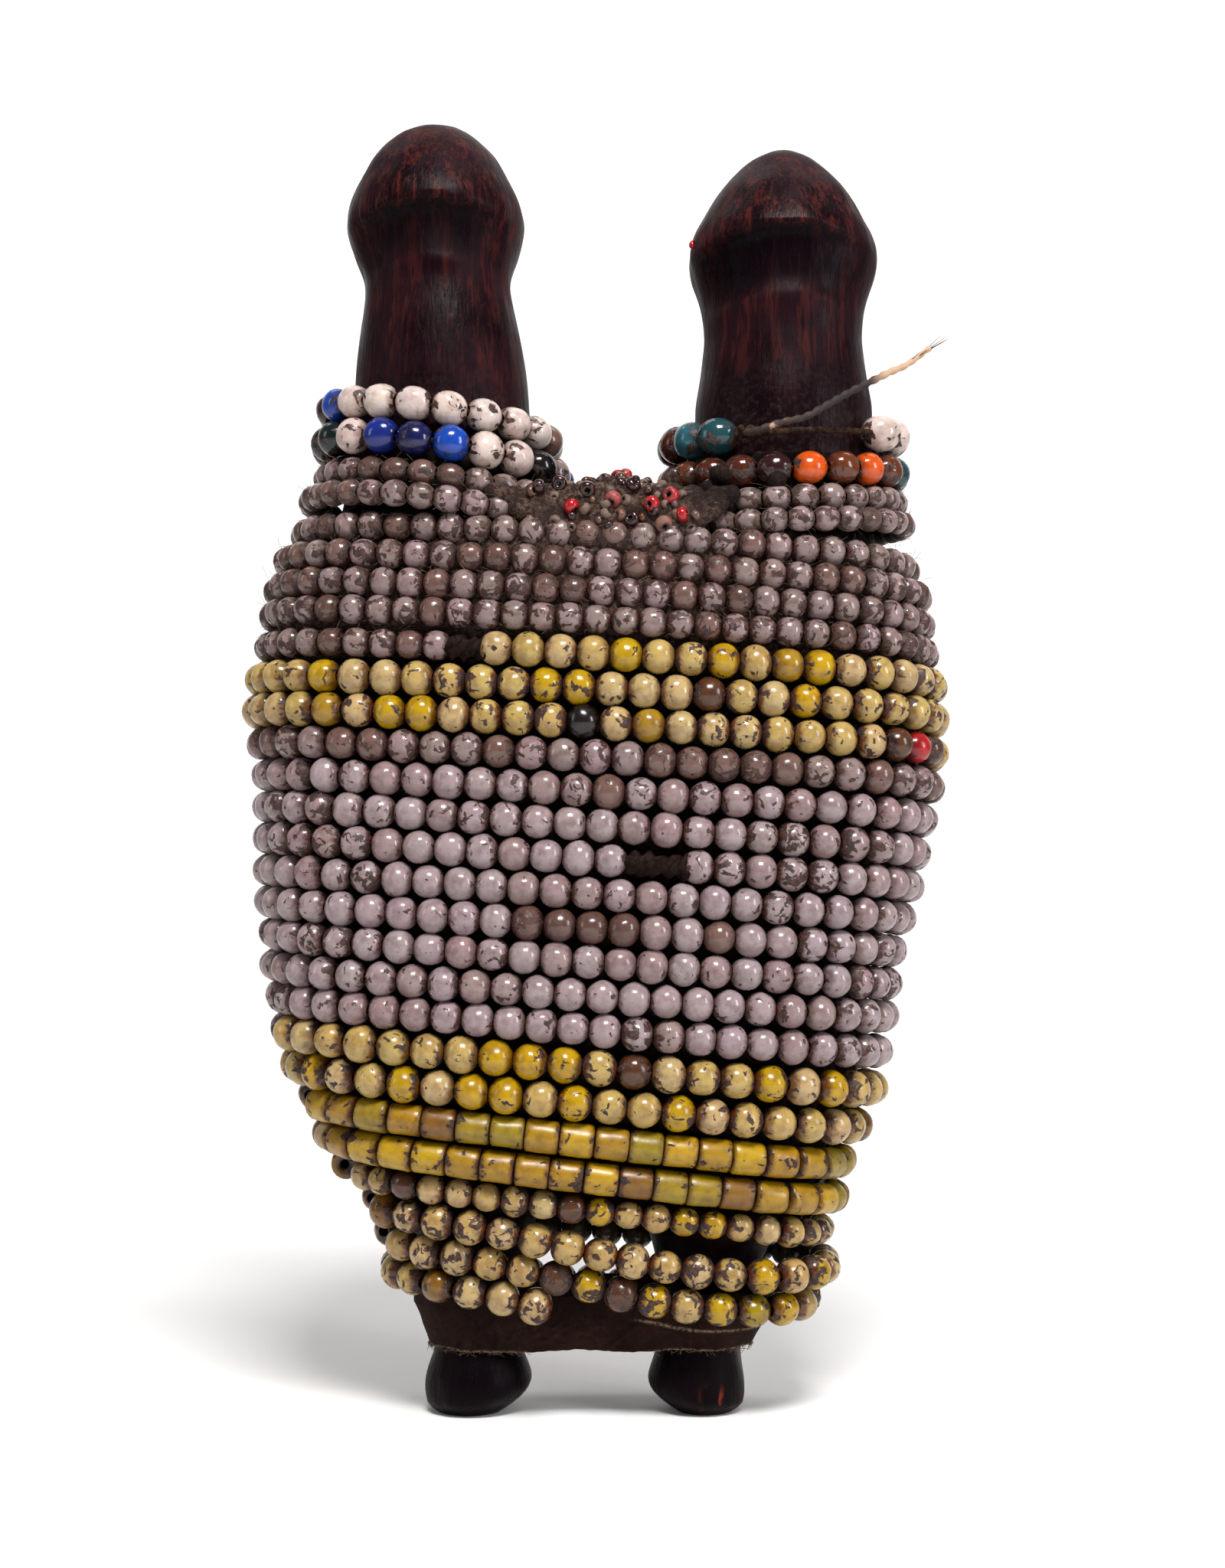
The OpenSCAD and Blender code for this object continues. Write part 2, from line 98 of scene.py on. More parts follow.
def quick_mesh(name, verts, faces, attributes=None):
    """A smooth mesh object from arrays: verts (n, 3) in metres, faces (m, 3 or 4)."""
    verts = np.asarray(verts, dtype=np.float32)
    faces = np.asarray(faces, dtype=np.int32)
    sides = faces.shape[1]
    mesh = bpy.data.meshes.new(name)
    mesh.vertices.add(len(verts))
    mesh.vertices.foreach_set("co", verts.ravel())
    mesh.loops.add(faces.size)
    mesh.loops.foreach_set("vertex_index", faces.ravel())
    mesh.polygons.add(len(faces))
    mesh.polygons.foreach_set("loop_start", np.arange(0, faces.size, sides, dtype=np.int32))
    mesh.polygons.foreach_set("loop_total", np.full(len(faces), sides, dtype=np.int32))
    mesh.polygons.foreach_set("use_smooth", np.full(len(faces), True))
    mesh.update(calc_edges=True)
    put_attributes(mesh, attributes or {})
    mesh.validate()
    return add_object(name, mesh)


def ring_faces(rings, around, closed_rings=False):
    """Quads between rings of points, each ring closed round on itself."""
    i = np.arange(rings if closed_rings else rings - 1)[:, None]
    j = np.arange(around)[None, :]
    a = i * around + j
    b = i * around + (j + 1) % around
    c = ((i + 1) % rings) * around + (j + 1) % around
    d = ((i + 1) % rings) * around + j
    return np.stack([a, b, c, d], axis=-1).reshape(-1, 4)


def unit(v):
    v = np.asarray(v, dtype=float)
    return v / np.maximum(np.linalg.norm(v, axis=-1, keepdims=True), 1e-12)


def smooth_curve(points, steps):
    """Catmull-Rom points through a list of points."""
    p = np.asarray(points, dtype=float)
    p = np.vstack([p[:1], p, p[-1:]])
    out = []
    for i in range(1, len(p) - 2):
        for k in range(steps):
            t = k / steps
            a, b, c, d = p[i - 1], p[i], p[i + 1], p[i + 2]
            out.append(b + 0.5 * t * ((c - a) + t * ((2 * a - 5 * b + 4 * c - d)
                                                     + t * (3 * b - a - 3 * c + d))))
    out.append(p[-2])
    return np.array(out)


def tube(route, radius, sides, twist=0.0, lobes=0, lobe_depth=0.0, closed=False):
    """Points and quads of a tube along a route, with twisted plies if lobes is set."""
    route = np.asarray(route, dtype=float)
    n = len(route)
    radius = np.broadcast_to(radius, n)
    if closed:
        along = unit(np.roll(route, -1, 0) - np.roll(route, 1, 0))
    else:
        along = unit(np.gradient(route, axis=0))
    up = np.tile([0.0, 0.0, 1.0], (n, 1))
    side = unit(np.cross(along, up))
    top = np.cross(side, along)
    length = np.concatenate([[0], np.cumsum(np.linalg.norm(np.diff(route, axis=0), axis=1))])
    angle = np.arange(sides) * 2 * math.pi / sides
    turn = length[:, None] * twist
    swell = 1 + lobe_depth * np.cos(lobes * (angle[None, :] - turn)) if lobes else np.ones((n, sides))
    r = radius[:, None] * swell
    points = (route[:, None, :] + r[..., None] * (np.cos(angle)[None, :, None] * side[:, None, :]
                                                  + np.sin(angle)[None, :, None] * top[:, None, :]))
    return points.reshape(-1, 3), ring_faces(n, sides, closed_rings=closed)


def join_parts(parts):
    """Joins (verts, faces) pairs with faces of the same number of sides."""
    verts, faces, start = [], [], 0
    for v, f in parts:
        verts.append(v)
        faces.append(np.asarray(f) + start)
        start += len(v)
    return np.vstack(verts), np.vstack(faces)


def moved_out(thing, amount):
    """Moves an object's points along their normals by amount(points), and gives the new points."""
    points = thing.data.vertices
    co, normals = np.empty((2, len(points) * 3), dtype=np.float32)
    points.foreach_get("co", co)
    points.foreach_get("normal", normals)
    co = co.reshape(-1, 3)
    co = co + normals.reshape(-1, 3) * amount(co)[:, None]
    points.foreach_set("co", co.ravel().astype(np.float32))
    return co


# ---- Colours and materials

def linear(*rgb):
    """sRGB, 0 to 255, as linear RGBA."""
    c = np.asarray(rgb, dtype=float) / 255
    c = np.where(c <= 0.04045, c / 12.92, ((c + 0.055) / 1.055) ** 2.4)
    return (*c, 1.0)


class Shader:
    """A principled material with short ways to add nodes."""

    def __init__(self, name):
        self.material = bpy.data.materials.new(name)
        self.material.use_nodes = True
        self.tree = self.material.node_tree
        self.surface = self.tree.nodes["Principled BSDF"]

    def node(self, kind, **settings):
        made = self.tree.nodes.new(kind)
        for key, value in settings.items():
            setattr(made, key, value)
        return made

    def put(self, socket, value):
        if isinstance(value, bpy.types.NodeSocket):
            self.tree.links.new(value, socket)
        else:
            socket.default_value = value

    def attribute(self, name, output="Fac"):
        return self.node("ShaderNodeAttribute", attribute_name=name).outputs[output]

    def filled(self, kind, values, **settings):
        """A new node with its named inputs filled."""
        n = self.node(kind, **settings)
        for key, value in values.items():
            self.put(n.inputs[key], value)
        return n

    def noise(self, at, scale, detail=3.0, roughness=0.55, distortion=0.0):
        n = self.filled("ShaderNodeTexNoise", {
            "Vector": at, "Scale": scale, "Detail": detail, "Roughness": roughness,
            "Distortion": distortion})
        return n.outputs[0]

    def math(self, operation, a, b=0.0, clamp=False):
        return self.filled("ShaderNodeMath", {0: a, 1: b}, operation=operation,
                           use_clamp=clamp).outputs[0]

    def plus(self, a, b, clamp=False):
        return self.math("ADD", a, b, clamp)

    def minus(self, a, b):
        return self.math("SUBTRACT", a, b)

    def times(self, a, b):
        return self.math("MULTIPLY", a, b)

    def most(self, a, b):
        return self.math("MAXIMUM", a, b)

    def axis(self, at, index):
        """One of a place's three numbers."""
        return self.filled("ShaderNodeSeparateXYZ", {0: at}).outputs[index]

    def span(self, value, low, high, to_low=0.0, to_high=1.0):
        """A value between low and high as 0 to 1, clamped."""
        n = self.filled("ShaderNodeMapRange", {
            "Value": value, "From Min": low, "From Max": high, "To Min": to_low, "To Max": to_high},
            interpolation_type="SMOOTHSTEP")
        return n.outputs["Result"]

    def mix(self, share, a, b, blend="MIX"):
        n = self.filled("ShaderNodeMix", {0: share, 6: a, 7: b}, data_type="RGBA", blend_type=blend)
        return n.outputs[2]

    def stretched(self, at, scale):
        return self.filled("ShaderNodeMapping", {"Vector": at, "Scale": scale}).outputs[0]

    def place(self):
        return self.node("ShaderNodeTexCoord").outputs["Object"]

    def bump(self, height, distance, strength=1.0, under=None):
        values = {"Height": height, "Distance": distance, "Strength": strength}
        if under is not None:
            values["Normal"] = under
        return self.filled("ShaderNodeBump", values).outputs[0]

    def finish(self, colour, roughness, normal=None, **constants):
        self.put(self.surface.inputs["Base Color"], colour)
        self.put(self.surface.inputs["Roughness"], roughness)
        if normal is not None:
            self.put(self.surface.inputs["Normal"], normal)
        for key, value in constants.items():
            self.surface.inputs[key.replace("_", " ")].default_value = value
        return self.material


def glass_material(name, chip, stain, chip_size=0.62, gloss=0.16, wash_from=1.0):
    """Old glass beads: each bead's tint with brown washes at the ends, chips, specks, dust, and painted
    shade in the bore and on the side that faces in.
    """
    s = Shader(name)
    at = s.attribute("pattern", "Vector")
    tint = s.attribute("tint", "Color")
    wear = s.attribute("wear")
    dust = s.attribute("dust")
    ends = s.attribute("ends")
    inside = s.attribute("inside")
    cloudy = s.noise(at, 0.5, 2)
    body = s.mix(s.span(cloudy, 0.35, 0.75, 0.0, 0.45), tint, stain, "MULTIPLY")
    wash_noise = s.noise(at, 0.9, 4, 0.6)
    wash = s.times(s.span(s.plus(ends, s.times(wash_noise, 0.7)), wash_from,
                                     wash_from + 0.4), s.span(wear, 0.0, 0.7, 0.55, 1.0))
    body = s.mix(wash, body, stain, "MULTIPLY")
    chips = s.noise(at, chip_size, 4, 0.55, 0.6)
    edge = s.minus(0.705, s.times(wear, 0.19))
    edge = s.minus(edge, s.times(s.math("POWER", ends, 2.0), 0.13))
    chip_mask = s.span(s.minus(chips, edge), 0.0, 0.022)
    rust = s.mix(s.span(s.noise(at, 1.7, 3), 0.4, 0.65), chip, linear(72, 38, 26))
    body = s.mix(chip_mask, body, rust)
    specks = s.span(s.noise(at, 4.5, 2), 0.68, 0.72)
    body = s.mix(s.times(specks, s.span(wear, 0.0, 0.7, 0.25, 0.9)), body, chip)
    dust_noise = s.noise(at, 2.2, 5, 0.7)
    dust_mask = s.span(s.plus(dust, s.times(dust_noise, 0.55)), 0.62, 0.95)
    dust_colour = s.mix(s.noise(at, 5.0, 3), linear(72, 55, 47), linear(124, 103, 90))
    body = s.mix(dust_mask, body, dust_colour)
    # Painted shade: near-black inside the bore and on the side of each bead that faces in.
    body = s.mix(inside, body, linear(20, 11, 8))
    rough = s.plus(gloss, s.times(chip_mask, 0.4))
    rough = s.plus(rough, s.times(dust_mask, 0.65))
    rough = s.plus(rough, s.span(cloudy, 0.3, 0.8, 0.0, 0.12), clamp=True)
    height = s.minus(s.times(dust_mask, s.times(dust_noise, 1.2)), chip_mask)
    normal = s.bump(height, 0.06 * MM, 0.9)
    normal = s.bump(s.noise(at, 1.1, 3), 0.035 * MM, 0.8, normal)
    return s.finish(body, rough, normal, IOR=1.5)


def wood_material():
    """Dark oiled wood: red-brown grain showing through near-black stain, pores and a worn shine, with
    painted shade towards the feet and in the undercuts.
    """
    s = Shader("dark_wood")
    at = s.place()
    red = s.attribute("red")
    grain = s.noise(s.stretched(at, (1500, 1500, 110)), 1.0, 5, 0.6, 0.6)
    streaks = s.noise(s.stretched(at, (520, 520, 42)), 1.0, 4, 0.6, 0.4)
    patches = s.noise(at, 95, 3, 0.5)
    base = s.mix(s.span(patches, 0.3, 0.7), linear(14, 4, 8), linear(27, 9, 15))
    show = s.times(s.span(s.plus(grain, s.times(streaks, 0.8)), 0.82, 1.12),
                  s.span(s.plus(red, s.times(patches, 0.7)), 0.45, 1.25))
    red_brown = s.mix(streaks, linear(48, 17, 16), linear(84, 33, 26))
    base = s.mix(s.times(show, 0.7), base, red_brown)
    pores = s.span(s.noise(s.stretched(at, (3200, 3200, 260)), 1.0, 2), 0.62, 0.72)
    base = s.mix(s.times(pores, 0.7), base, linear(12, 7, 8))
    chipped = s.times(s.attribute("chipped"),
                     s.span(s.noise(s.stretched(at, (520, 520, 90)), 1.0, 4, 0.6), 0.56, 0.6))
    base = s.mix(chipped, base, s.mix(grain, linear(70, 26, 16), linear(112, 48, 28)))
    dust = s.times(s.attribute("dust"), s.span(s.noise(at, 900, 5, 0.7), 0.45, 0.7))
    base = s.mix(dust, base, linear(72, 58, 50))
    # Painted shade: near-black towards the feet and in the undercut below the brow.
    painted_shade = s.most(s.span(s.axis(at, 2), 12 * MM, 30 * MM, 0.85, 0.0), s.attribute("sunk"))
    base = s.mix(s.times(painted_shade, s.minus(1.0, chipped)), base, linear(5, 1, 4))
    rough = s.span(s.plus(patches, s.times(grain, 0.4)), 0.5, 1.0, 0.3, 0.58)
    rough = s.plus(rough, s.times(s.most(dust, chipped), 0.35), clamp=True)
    normal = s.bump(grain, 0.11 * MM, 0.9)
    normal = s.bump(s.times(pores, -1.0), 0.06 * MM, 0.8, normal)
    normal = s.bump(s.noise(s.stretched(at, (230, 230, 60)), 1.0, 2), 0.25 * MM, 0.7, normal)
    return s.finish(base, rough, normal, Specular_IOR_Level=0.05)


def cloth_material(name, dark, light, thread_mm, dusty):
    """Plain-woven cotton: threads from two crossed waves on the cloth's own lengths, soiled."""
    s = Shader(name)
    along = s.attribute("weave", "Vector")
    wobble = s.times(s.noise(s.place(), 260, 3), 1.4)
    turn = 2 * math.pi / thread_mm
    warp = s.math("SINE", s.times(s.plus(s.axis(along, 0), wobble), turn))
    weft = s.math("SINE", s.times(s.plus(s.axis(along, 1), wobble), turn))
    threads = s.times(s.plus(s.times(warp, weft), 1.0), 0.5)
    ridges = s.plus(threads, s.times(s.math("ABSOLUTE", warp), 0.4))
    soil = s.noise(s.place(), 140, 4, 0.6)
    base = s.mix(s.span(soil, 0.3, 0.7), dark, light)
    base = s.mix(s.times(s.span(ridges, 0.2, 1.2), 0.55), base, light)
    grime = s.span(s.noise(s.place(), 420, 5, 0.65), 0.52, 0.66)
    base = s.mix(s.times(grime, 0.7), base, linear(10, 5, 4))
    fray = s.attribute("fray")
    pale = s.times(fray, s.span(s.noise(s.place(), 1500, 3), 0.35, 0.6))
    base = s.mix(pale, base, linear(132, 110, 90))
    base = s.mix(s.times(s.span(s.noise(s.place(), 800, 4), 0.5, 0.7), dusty), base,
                 linear(112, 95, 82))
    normal = s.bump(ridges, 0.09 * MM, 0.9)
    normal = s.bump(soil, 0.3 * MM, 0.5, normal)
    return s.finish(base, 0.9, normal, Specular_IOR_Level=0.1)


def fibre_material(name, dark, light, scale=900):
    """Plant-fibre twine or loose hairs: fine streaks of two tones."""
    s = Shader(name)
    tone = s.noise(s.place(), scale, 4, 0.65)
    strands = s.noise(s.place(), scale * 3, 2)
    base = s.mix(s.span(tone, 0.38, 0.62), dark, light)
    base = s.mix(s.times(strands, 0.35), base, dark)
    return s.finish(base, 0.8, s.bump(strands, 0.05 * MM, 0.8), Specular_IOR_Level=0.1)


def crust_material():
    """Dried resin caked with grey-brown dust, darker in its hollows."""
    s = Shader("crust")
    at = s.place()
    low = s.attribute("hollow")
    grit = s.noise(at, 1300, 6, 0.75)
    clouds = s.noise(at, 190, 4, 0.6)
    base = s.mix(s.span(clouds, 0.35, 0.65), linear(50, 36, 32), linear(92, 73, 63))
    base = s.mix(s.span(grit, 0.42, 0.62), linear(36, 24, 21), base)
    fuzz = s.span(s.noise(s.stretched(at, (900, 900, 2600)), 1.0, 3), 0.6, 0.72)
    base = s.mix(s.times(fuzz, 0.6), base, linear(122, 102, 86))
    base = s.mix(s.times(low, 0.8), base, linear(18, 10, 9))
    normal = s.bump(grit, 0.3 * MM, 0.9)
    return s.finish(base, s.span(clouds, 0.3, 0.7, 0.75, 0.95), normal, Specular_IOR_Level=0.12)


def cord_end_material():
    """Twine that fades from near-black to straw towards its tip."""
    s = Shader("cord_end_twine")
    tip = s.span(s.axis(s.place(), 0), 47 * MM, 50 * MM)
    bands = s.noise(s.place(), 330, 3)
    dark = s.mix(s.span(bands, 0.4, 0.7), linear(26, 14, 12), linear(58, 36, 26))
    pale = s.mix(bands, linear(150, 116, 92), linear(196, 166, 136))
    light = s.times(s.span(bands, 0.62, 0.7), 0.8)
    base = s.mix(s.most(tip, light), dark, pale)
    return s.finish(base, 0.75, s.bump(s.noise(s.place(), 2600, 2), 0.06 * MM, 0.8))


MATERIALS = {
    "white": glass_material("white_glass", linear(30, 13, 10), linear(128, 80, 66), 0.6, 0.15, 0.92),
    "yellow": glass_material("yellow_glass", linear(26, 12, 6), linear(126, 68, 36), 0.55, 0.17, 0.84),
    "tube": glass_material("tube_glass", linear(26, 12, 6), linear(126, 72, 36), 0.5, 0.3, 0.95),
    "colour": glass_material("coloured_glass", linear(18, 11, 11), linear(150, 120, 110), 0.5, 0.12),
    "wood": wood_material(),
    "wrap": cloth_material("brown_cloth", linear(10, 6, 5), linear(26, 16, 13), 0.55, 0.1),
    "band": cloth_material("band_cloth", linear(13, 5, 5), linear(40, 22, 17), 0.42, 0.04),
    "rag": cloth_material("rag_cloth", linear(30, 21, 16), linear(62, 48, 37), 0.7, 0.3),
    "twine": fibre_material("twine", linear(20, 11, 8), linear(62, 40, 27)),
    "dark_twine": fibre_material("dark_twine", linear(10, 5, 4), linear(38, 21, 15), 1100),
    "hair": fibre_material("dust_hair", linear(62, 50, 42), linear(118, 100, 84), 1400),
    "crust": crust_material(), "cord_end": cord_end_material(),
}


# ---- Beads, read from the frame and made again in full detail

def to_row_frame(node, points):
    """A CAD node's own points in the row frame."""
    place = np.array(frame["nodes"][node].matrix_world)
    return points @ place[:3, :3].T + place[:3, 3]


def islands(node):
    """The separate solids of a CAD node, each as its vertices, in the order they lie in its mesh."""
    mesh = frame["nodes"][node].data
    co = np.empty(len(mesh.vertices) * 3, dtype=np.float32)
    mesh.vertices.foreach_get("co", co)
    co = to_row_frame(node, co.reshape(-1, 3))
    keys, first, same = np.unique(np.round(co * 1e6).astype(np.int64), axis=0, return_index=True,
                                  return_inverse=True)
    same = same.ravel()
    mesh.calc_loop_triangles()
    tri = np.empty(len(mesh.loop_triangles) * 3, dtype=np.int32)
    mesh.loop_triangles.foreach_get("vertices", tri)
    tri = same[tri].reshape(-1, 3)
    label = np.arange(len(keys))
    while True:
        low = label[tri].min(axis=1)
        new = label.copy()
        for k in range(3):
            np.minimum.at(new, tri[:, k], low)
        new = new[new]
        if np.array_equal(new, label):
            break
        label = new
    groups = {}
    for root in np.unique(label):
        members = np.nonzero(label == root)[0]
        groups[int(first[members].min())] = co[first[members]]
    return [groups[k] for k in sorted(groups)]


def bead_places(node, loop):
    """Centre, size and line of each bead of a node, in string order."""
    solids = islands(node)
    centres = np.array([(s.min(0) + s.max(0)) / 2 for s in solids])
    sizes = np.array([2 * np.linalg.norm(s - c, axis=1).max() for s, c in zip(solids, centres)])
    order = string_order(centres, loop)
    centres, sizes = centres[order], sizes[order]
    if loop:
        along = unit(np.roll(centres, -1, 0) - np.roll(centres, 1, 0))
    else:
        along = unit(np.gradient(centres, axis=0))
    return centres, sizes, along


ROW_CHANGE_COST = 2.5
LONGEST_STEP = 9 * MM


def string_order(centres, loop):
    """The order of the beads along their string, walked both ways from the highest one."""
    if loop:
        middle = centres.mean(axis=0)
        return np.argsort(np.arctan2(centres[:, 1] - middle[1], centres[:, 0] - middle[0]))
    start = int(np.argmax(centres[:, 2]))
    left = set(range(len(centres))) - {start}
    ways = []
    for sign in (1, -1):
        order = [start]
        while left:
            rest = np.array(sorted(left))
            here = centres[order[-1]]
            if len(order) > 1:
                ahead = here + (here - centres[order[-2]])
            else:
                ahead = here + sign * 5 * MM * np.array([-here[1], here[0], 0]) / np.hypot(*here[:2])
            off = np.linalg.norm((centres[rest] - ahead) * [1, 1, ROW_CHANGE_COST], axis=1)
            if off.min() > LONGEST_STEP:
                break
            order.append(int(rest[np.argmin(off)]))
            left.remove(order[-1])
        ways.append(order)
    return np.array(ways[1][:0:-1] + ways[0])


BEAD_AROUND = 22
BEAD_SLACK = 0.06 * MM
HOLE_R = 0.9 * MM
BORE_RINGS = 4
PATTERN_SPREAD = 400


class GlassMesh:
    """Gathers beads into one mesh, with the attributes that the glass material reads."""
    KEYS = ("pattern", "tint", "wear", "dust", "ends", "inside")

    def __init__(self):
        self.verts, self.faces, self.count = [], [], 0
        self.data = {key: [] for key in self.KEYS}

    def add(self, points, faces, *values):
        """A bead's points and faces, with its values in the order of KEYS, one each or for all."""
        self.verts.append(points)
        self.faces.append(faces + self.count)
        self.count += len(points)
        for key, value in zip(self.KEYS, values):
            value = np.asarray(value, dtype=float)
            one_for_all = value.ndim == 0 or value.shape == (4,)
            self.data[key].append(np.tile(value, (len(points), 1) if value.ndim else len(points))
                                  if one_for_all else value)

    def made(self, name):
        return quick_mesh(name, np.vstack(self.verts), np.vstack(self.faces),
                          {key: np.concatenate(values) for key, values in self.data.items()})


def bead_outline(length, radius, power, is_tube):
    """Half-outline of a bead from one hole's rim over its outside to the other, then the bore."""
    t = np.sin(np.linspace(-1, 1, 13) * math.pi / 2)
    if is_tube:
        t = np.array([-1, -0.985, -0.93, -0.84, -0.5, 0, 0.5, 0.84, 0.93, 0.985, 1])
        r = radius * np.array([0.72, 0.86, 0.955, 1, 1.01, 1.015, 1.01, 1, 0.955, 0.86, 0.72])
    else:
        rim = max(HOLE_R * 1.25, 0.34 * radius)
        bulge = np.abs(t) ** power
        r = radius * (1 - bulge * (1 - (rim / radius) ** power)) ** (1 / power)
    z = t * length / 2
    bore = np.linspace(1, -1, BORE_RINGS)
    z = np.concatenate([z, bore * length * 0.49])
    r = np.concatenate([r, np.full(BORE_RINGS, HOLE_R)])
    return z, r


def bead_pitch(centres, sizes, loop):
    """Room that each bead has along its string."""
    steps = np.linalg.norm(np.roll(centres, -1, 0) - centres, axis=1)
    before = np.roll(steps, 1)
    if not loop:
        steps[-1], before[0] = before[-1], steps[0]
    return np.minimum((steps + before) / 2, 1.15 * sizes)


def make_beads(name, node, bead_look, loop=False, swell=1.0, is_tube=False, outward_from=None):
    """All beads of one node as one mesh with the attributes that the glass material reads."""
    centres, sizes, along = bead_places(node, loop)
    pitch = bead_pitch(centres, sizes, loop)
    mesh = GlassMesh()
    angle = np.arange(BEAD_AROUND) * 2 * math.pi / BEAD_AROUND
    for i in range(len(centres)):
        look = bead_look(i, centres[i])
        tube_bead = look.get("tube", is_tube)
        radius = sizes[i] / 2 * swell * look.get("scale", 1.0)
        if is_tube:
            radius = radius / math.hypot(1, 0.88)
        length = pitch[i] - BEAD_SLACK
        z, r = bead_outline(length, radius, 1.9 + 0.3 * rng.random(), tube_bead)
        a = along[i]
        if outward_from is not None:
            out = centres[i] - outward_from
        else:
            out = np.cross(a, [0, 0, 1])
        out = unit(out - a * np.dot(out, a))
        across = np.cross(a, out)
        phase = rng.random(6) * 2 * math.pi
        warp = 1 + 0.018 * np.sin(2 * angle[None, :] + phase[0] + z[:, None] / radius) \
            + 0.014 * np.sin(3 * angle[None, :] + phase[1] - 2 * z[:, None] / radius) \
            + 0.010 * np.sin(5 * angle[None, :] + phase[2] + 3 * z[:, None] / radius)
        rr = r[:, None] * warp
        lean = 0.05 * (rng.random(2) - 0.5)
        zz = z[:, None] + rr * (lean[0] * np.cos(angle) + lean[1] * np.sin(angle))[None, :]
        x = rr * np.cos(angle)[None, :]
        y = rr * np.sin(angle)[None, :]
        p = centres[i] + zz[..., None] * a + x[..., None] * out + y[..., None] * across
        rings = len(z)
        local = np.stack([x, y, zz], axis=-1).reshape(-1, 3) / MM
        pattern = local + rng.random(3) * PATTERN_SPREAD
        tint = np.array(look["tint"]) * (1 + 0.05 * (rng.random(4) - 0.5))
        tint[3] = 1
        outness = np.tile(np.cos(angle), rings) * np.clip(np.repeat(r, BEAD_AROUND) / radius, 0, 1)
        crevice = np.clip(0.25 - outness, 0, 1) * 0.9
        ends = np.repeat(np.abs(z) / (length / 2), BEAD_AROUND)
        dust = look["dust"] * (0.35 + crevice + 0.35 * np.clip(ends - 0.6, 0, 1))
        # Painted shade: the bore and the side of the bead that faces in are darkened.
        bored = np.repeat(np.arange(rings) >= rings - BORE_RINGS, BEAD_AROUND)
        inside = np.maximum(bored * 1.0, np.clip(0.9 * (0.45 - outness), 0, 0.85))
        mesh.add(p.reshape(-1, 3), ring_faces(rings, BEAD_AROUND, closed_rings=True)[:, ::-1],
                 pattern, tint, look["wear"], dust, ends, inside)
    return mesh.made(name), centres


# Colours of the glass, by the names used below
GLASS = {name: linear(*colour) for name, colour in {
    "white": (143, 126, 128), "pink_white": (134, 113, 113),
    "brown_white": (101, 76, 69), "dusty": (124, 106, 103),
    "dusky": (85, 61, 54), "warm_brown": (97, 62, 45),
    "cream": (166, 140, 80), "pale_cream": (168, 143, 97),
    "yellow": (164, 130, 6), "dull_yellow": (142, 108, 24),
    "mustard": (146, 110, 5), "olive": (134, 112, 8),
    "ochre": (114, 78, 14), "tan": (164, 136, 80), "brown": (75, 43, 23),
    "black": (16, 11, 13), "bottle": (9, 22, 22), "navy": (13, 17, 65),
    "cobalt": (15, 33, 110), "blue": (16, 59, 151), "bone": (192, 174, 167),
    "turquoise": (35, 86, 100), "teal": (23, 59, 65), "amber": (89, 41, 16),
    "orange": (188, 72, 8), "maroon": (40, 13, 13), "red": (156, 18, 25),
    "lime": (109, 106, 34), "chestnut": (68, 26, 13),
}.items()}


def pick(names, weights=None):
    weights = None if weights is None else np.array(weights) / np.sum(weights)
    return str(rng.choice(names, p=weights))


def look_of(colours, dust, wear, scale=None):
    """A maker of looks: colours with their shares, dust, and how wear and size are drawn."""
    def look(i, at):
        name = pick(list(colours), list(colours.values()))
        found = {"tint": GLASS[name], "wear": wear(), "dust": dust}
        if scale:
            found["scale"] = scale()
        return found
    return look


DUSTY_FROM = 138 * MM
DUSTY_X = 8 * MM


def look_shoulder(i, at):
    """Dustier towards the top and by the crust."""
    name = pick(["dusty", "pink_white", "dusky", "brown_white"], [5, 3, 1, 1.6])
    height = np.clip((at[2] - DUSTY_FROM) / (20 * MM), 0, 1)
    by_crust = np.clip((at[2] - DUSTY_FROM - 10 * MM) / (10 * MM), 0, 1) \
        * math.exp(-((at[0] - DUSTY_X) / (20 * MM)) ** 2)
    return {"tint": GLASS[name], "wear": 0.5 + 0.5 * rng.random(),
            "dust": 0.4 + 0.5 * height + 0.5 * by_crust}


TUBE_MIDDLE_X = -2 * MM
TUBES_LEFT, TUBES_RIGHT = 47 * MM, 44 * MM


def look_tube(i, at):
    """Tubes across the front, with round beads where the rows turn to the back."""
    round_end = at[1] < 0 and (at[0] < TUBE_MIDDLE_X - TUBES_LEFT or at[0] > TUBE_MIDDLE_X + TUBES_RIGHT)
    name = pick(["mustard", "yellow", "olive", "ochre"], [4, 4, 2.4, 0.5])
    return {"tint": GLASS[name], "wear": 0.1 + 0.5 * rng.beta(1.3, 2.5), "dust": 0.12,
            "tube": not round_end}


look_white = look_of({"white": 7, "pink_white": 3, "brown_white": 0.35}, 0.2,
                     lambda: rng.beta(1.3, 2.2))
look_brown_white = look_of({"brown_white": 4, "dusty": 3, "pink_white": 1}, 0.35,
                           lambda: 0.3 + 0.6 * rng.random())
look_cream = look_of({"cream": 6, "pale_cream": 3, "dull_yellow": 0.8, "yellow": 0.5}, 0.2,
                     lambda: 0.15 + 0.65 * rng.beta(1.6, 1.8))
look_lower_yellow = look_of({"cream": 6, "pale_cream": 3.5, "yellow": 1.2, "ochre": 0.6}, 0.15,
                            lambda: 0.15 + 0.6 * rng.beta(1.6, 2.0))
look_small_yellow = look_of({"tan": 5, "pale_cream": 4, "yellow": 1.4, "brown": 0.3}, 0.15,
                            lambda: 0.3 + 0.6 * rng.random(),
                            lambda: 1.05 + 0.12 * (rng.random() - 0.5))
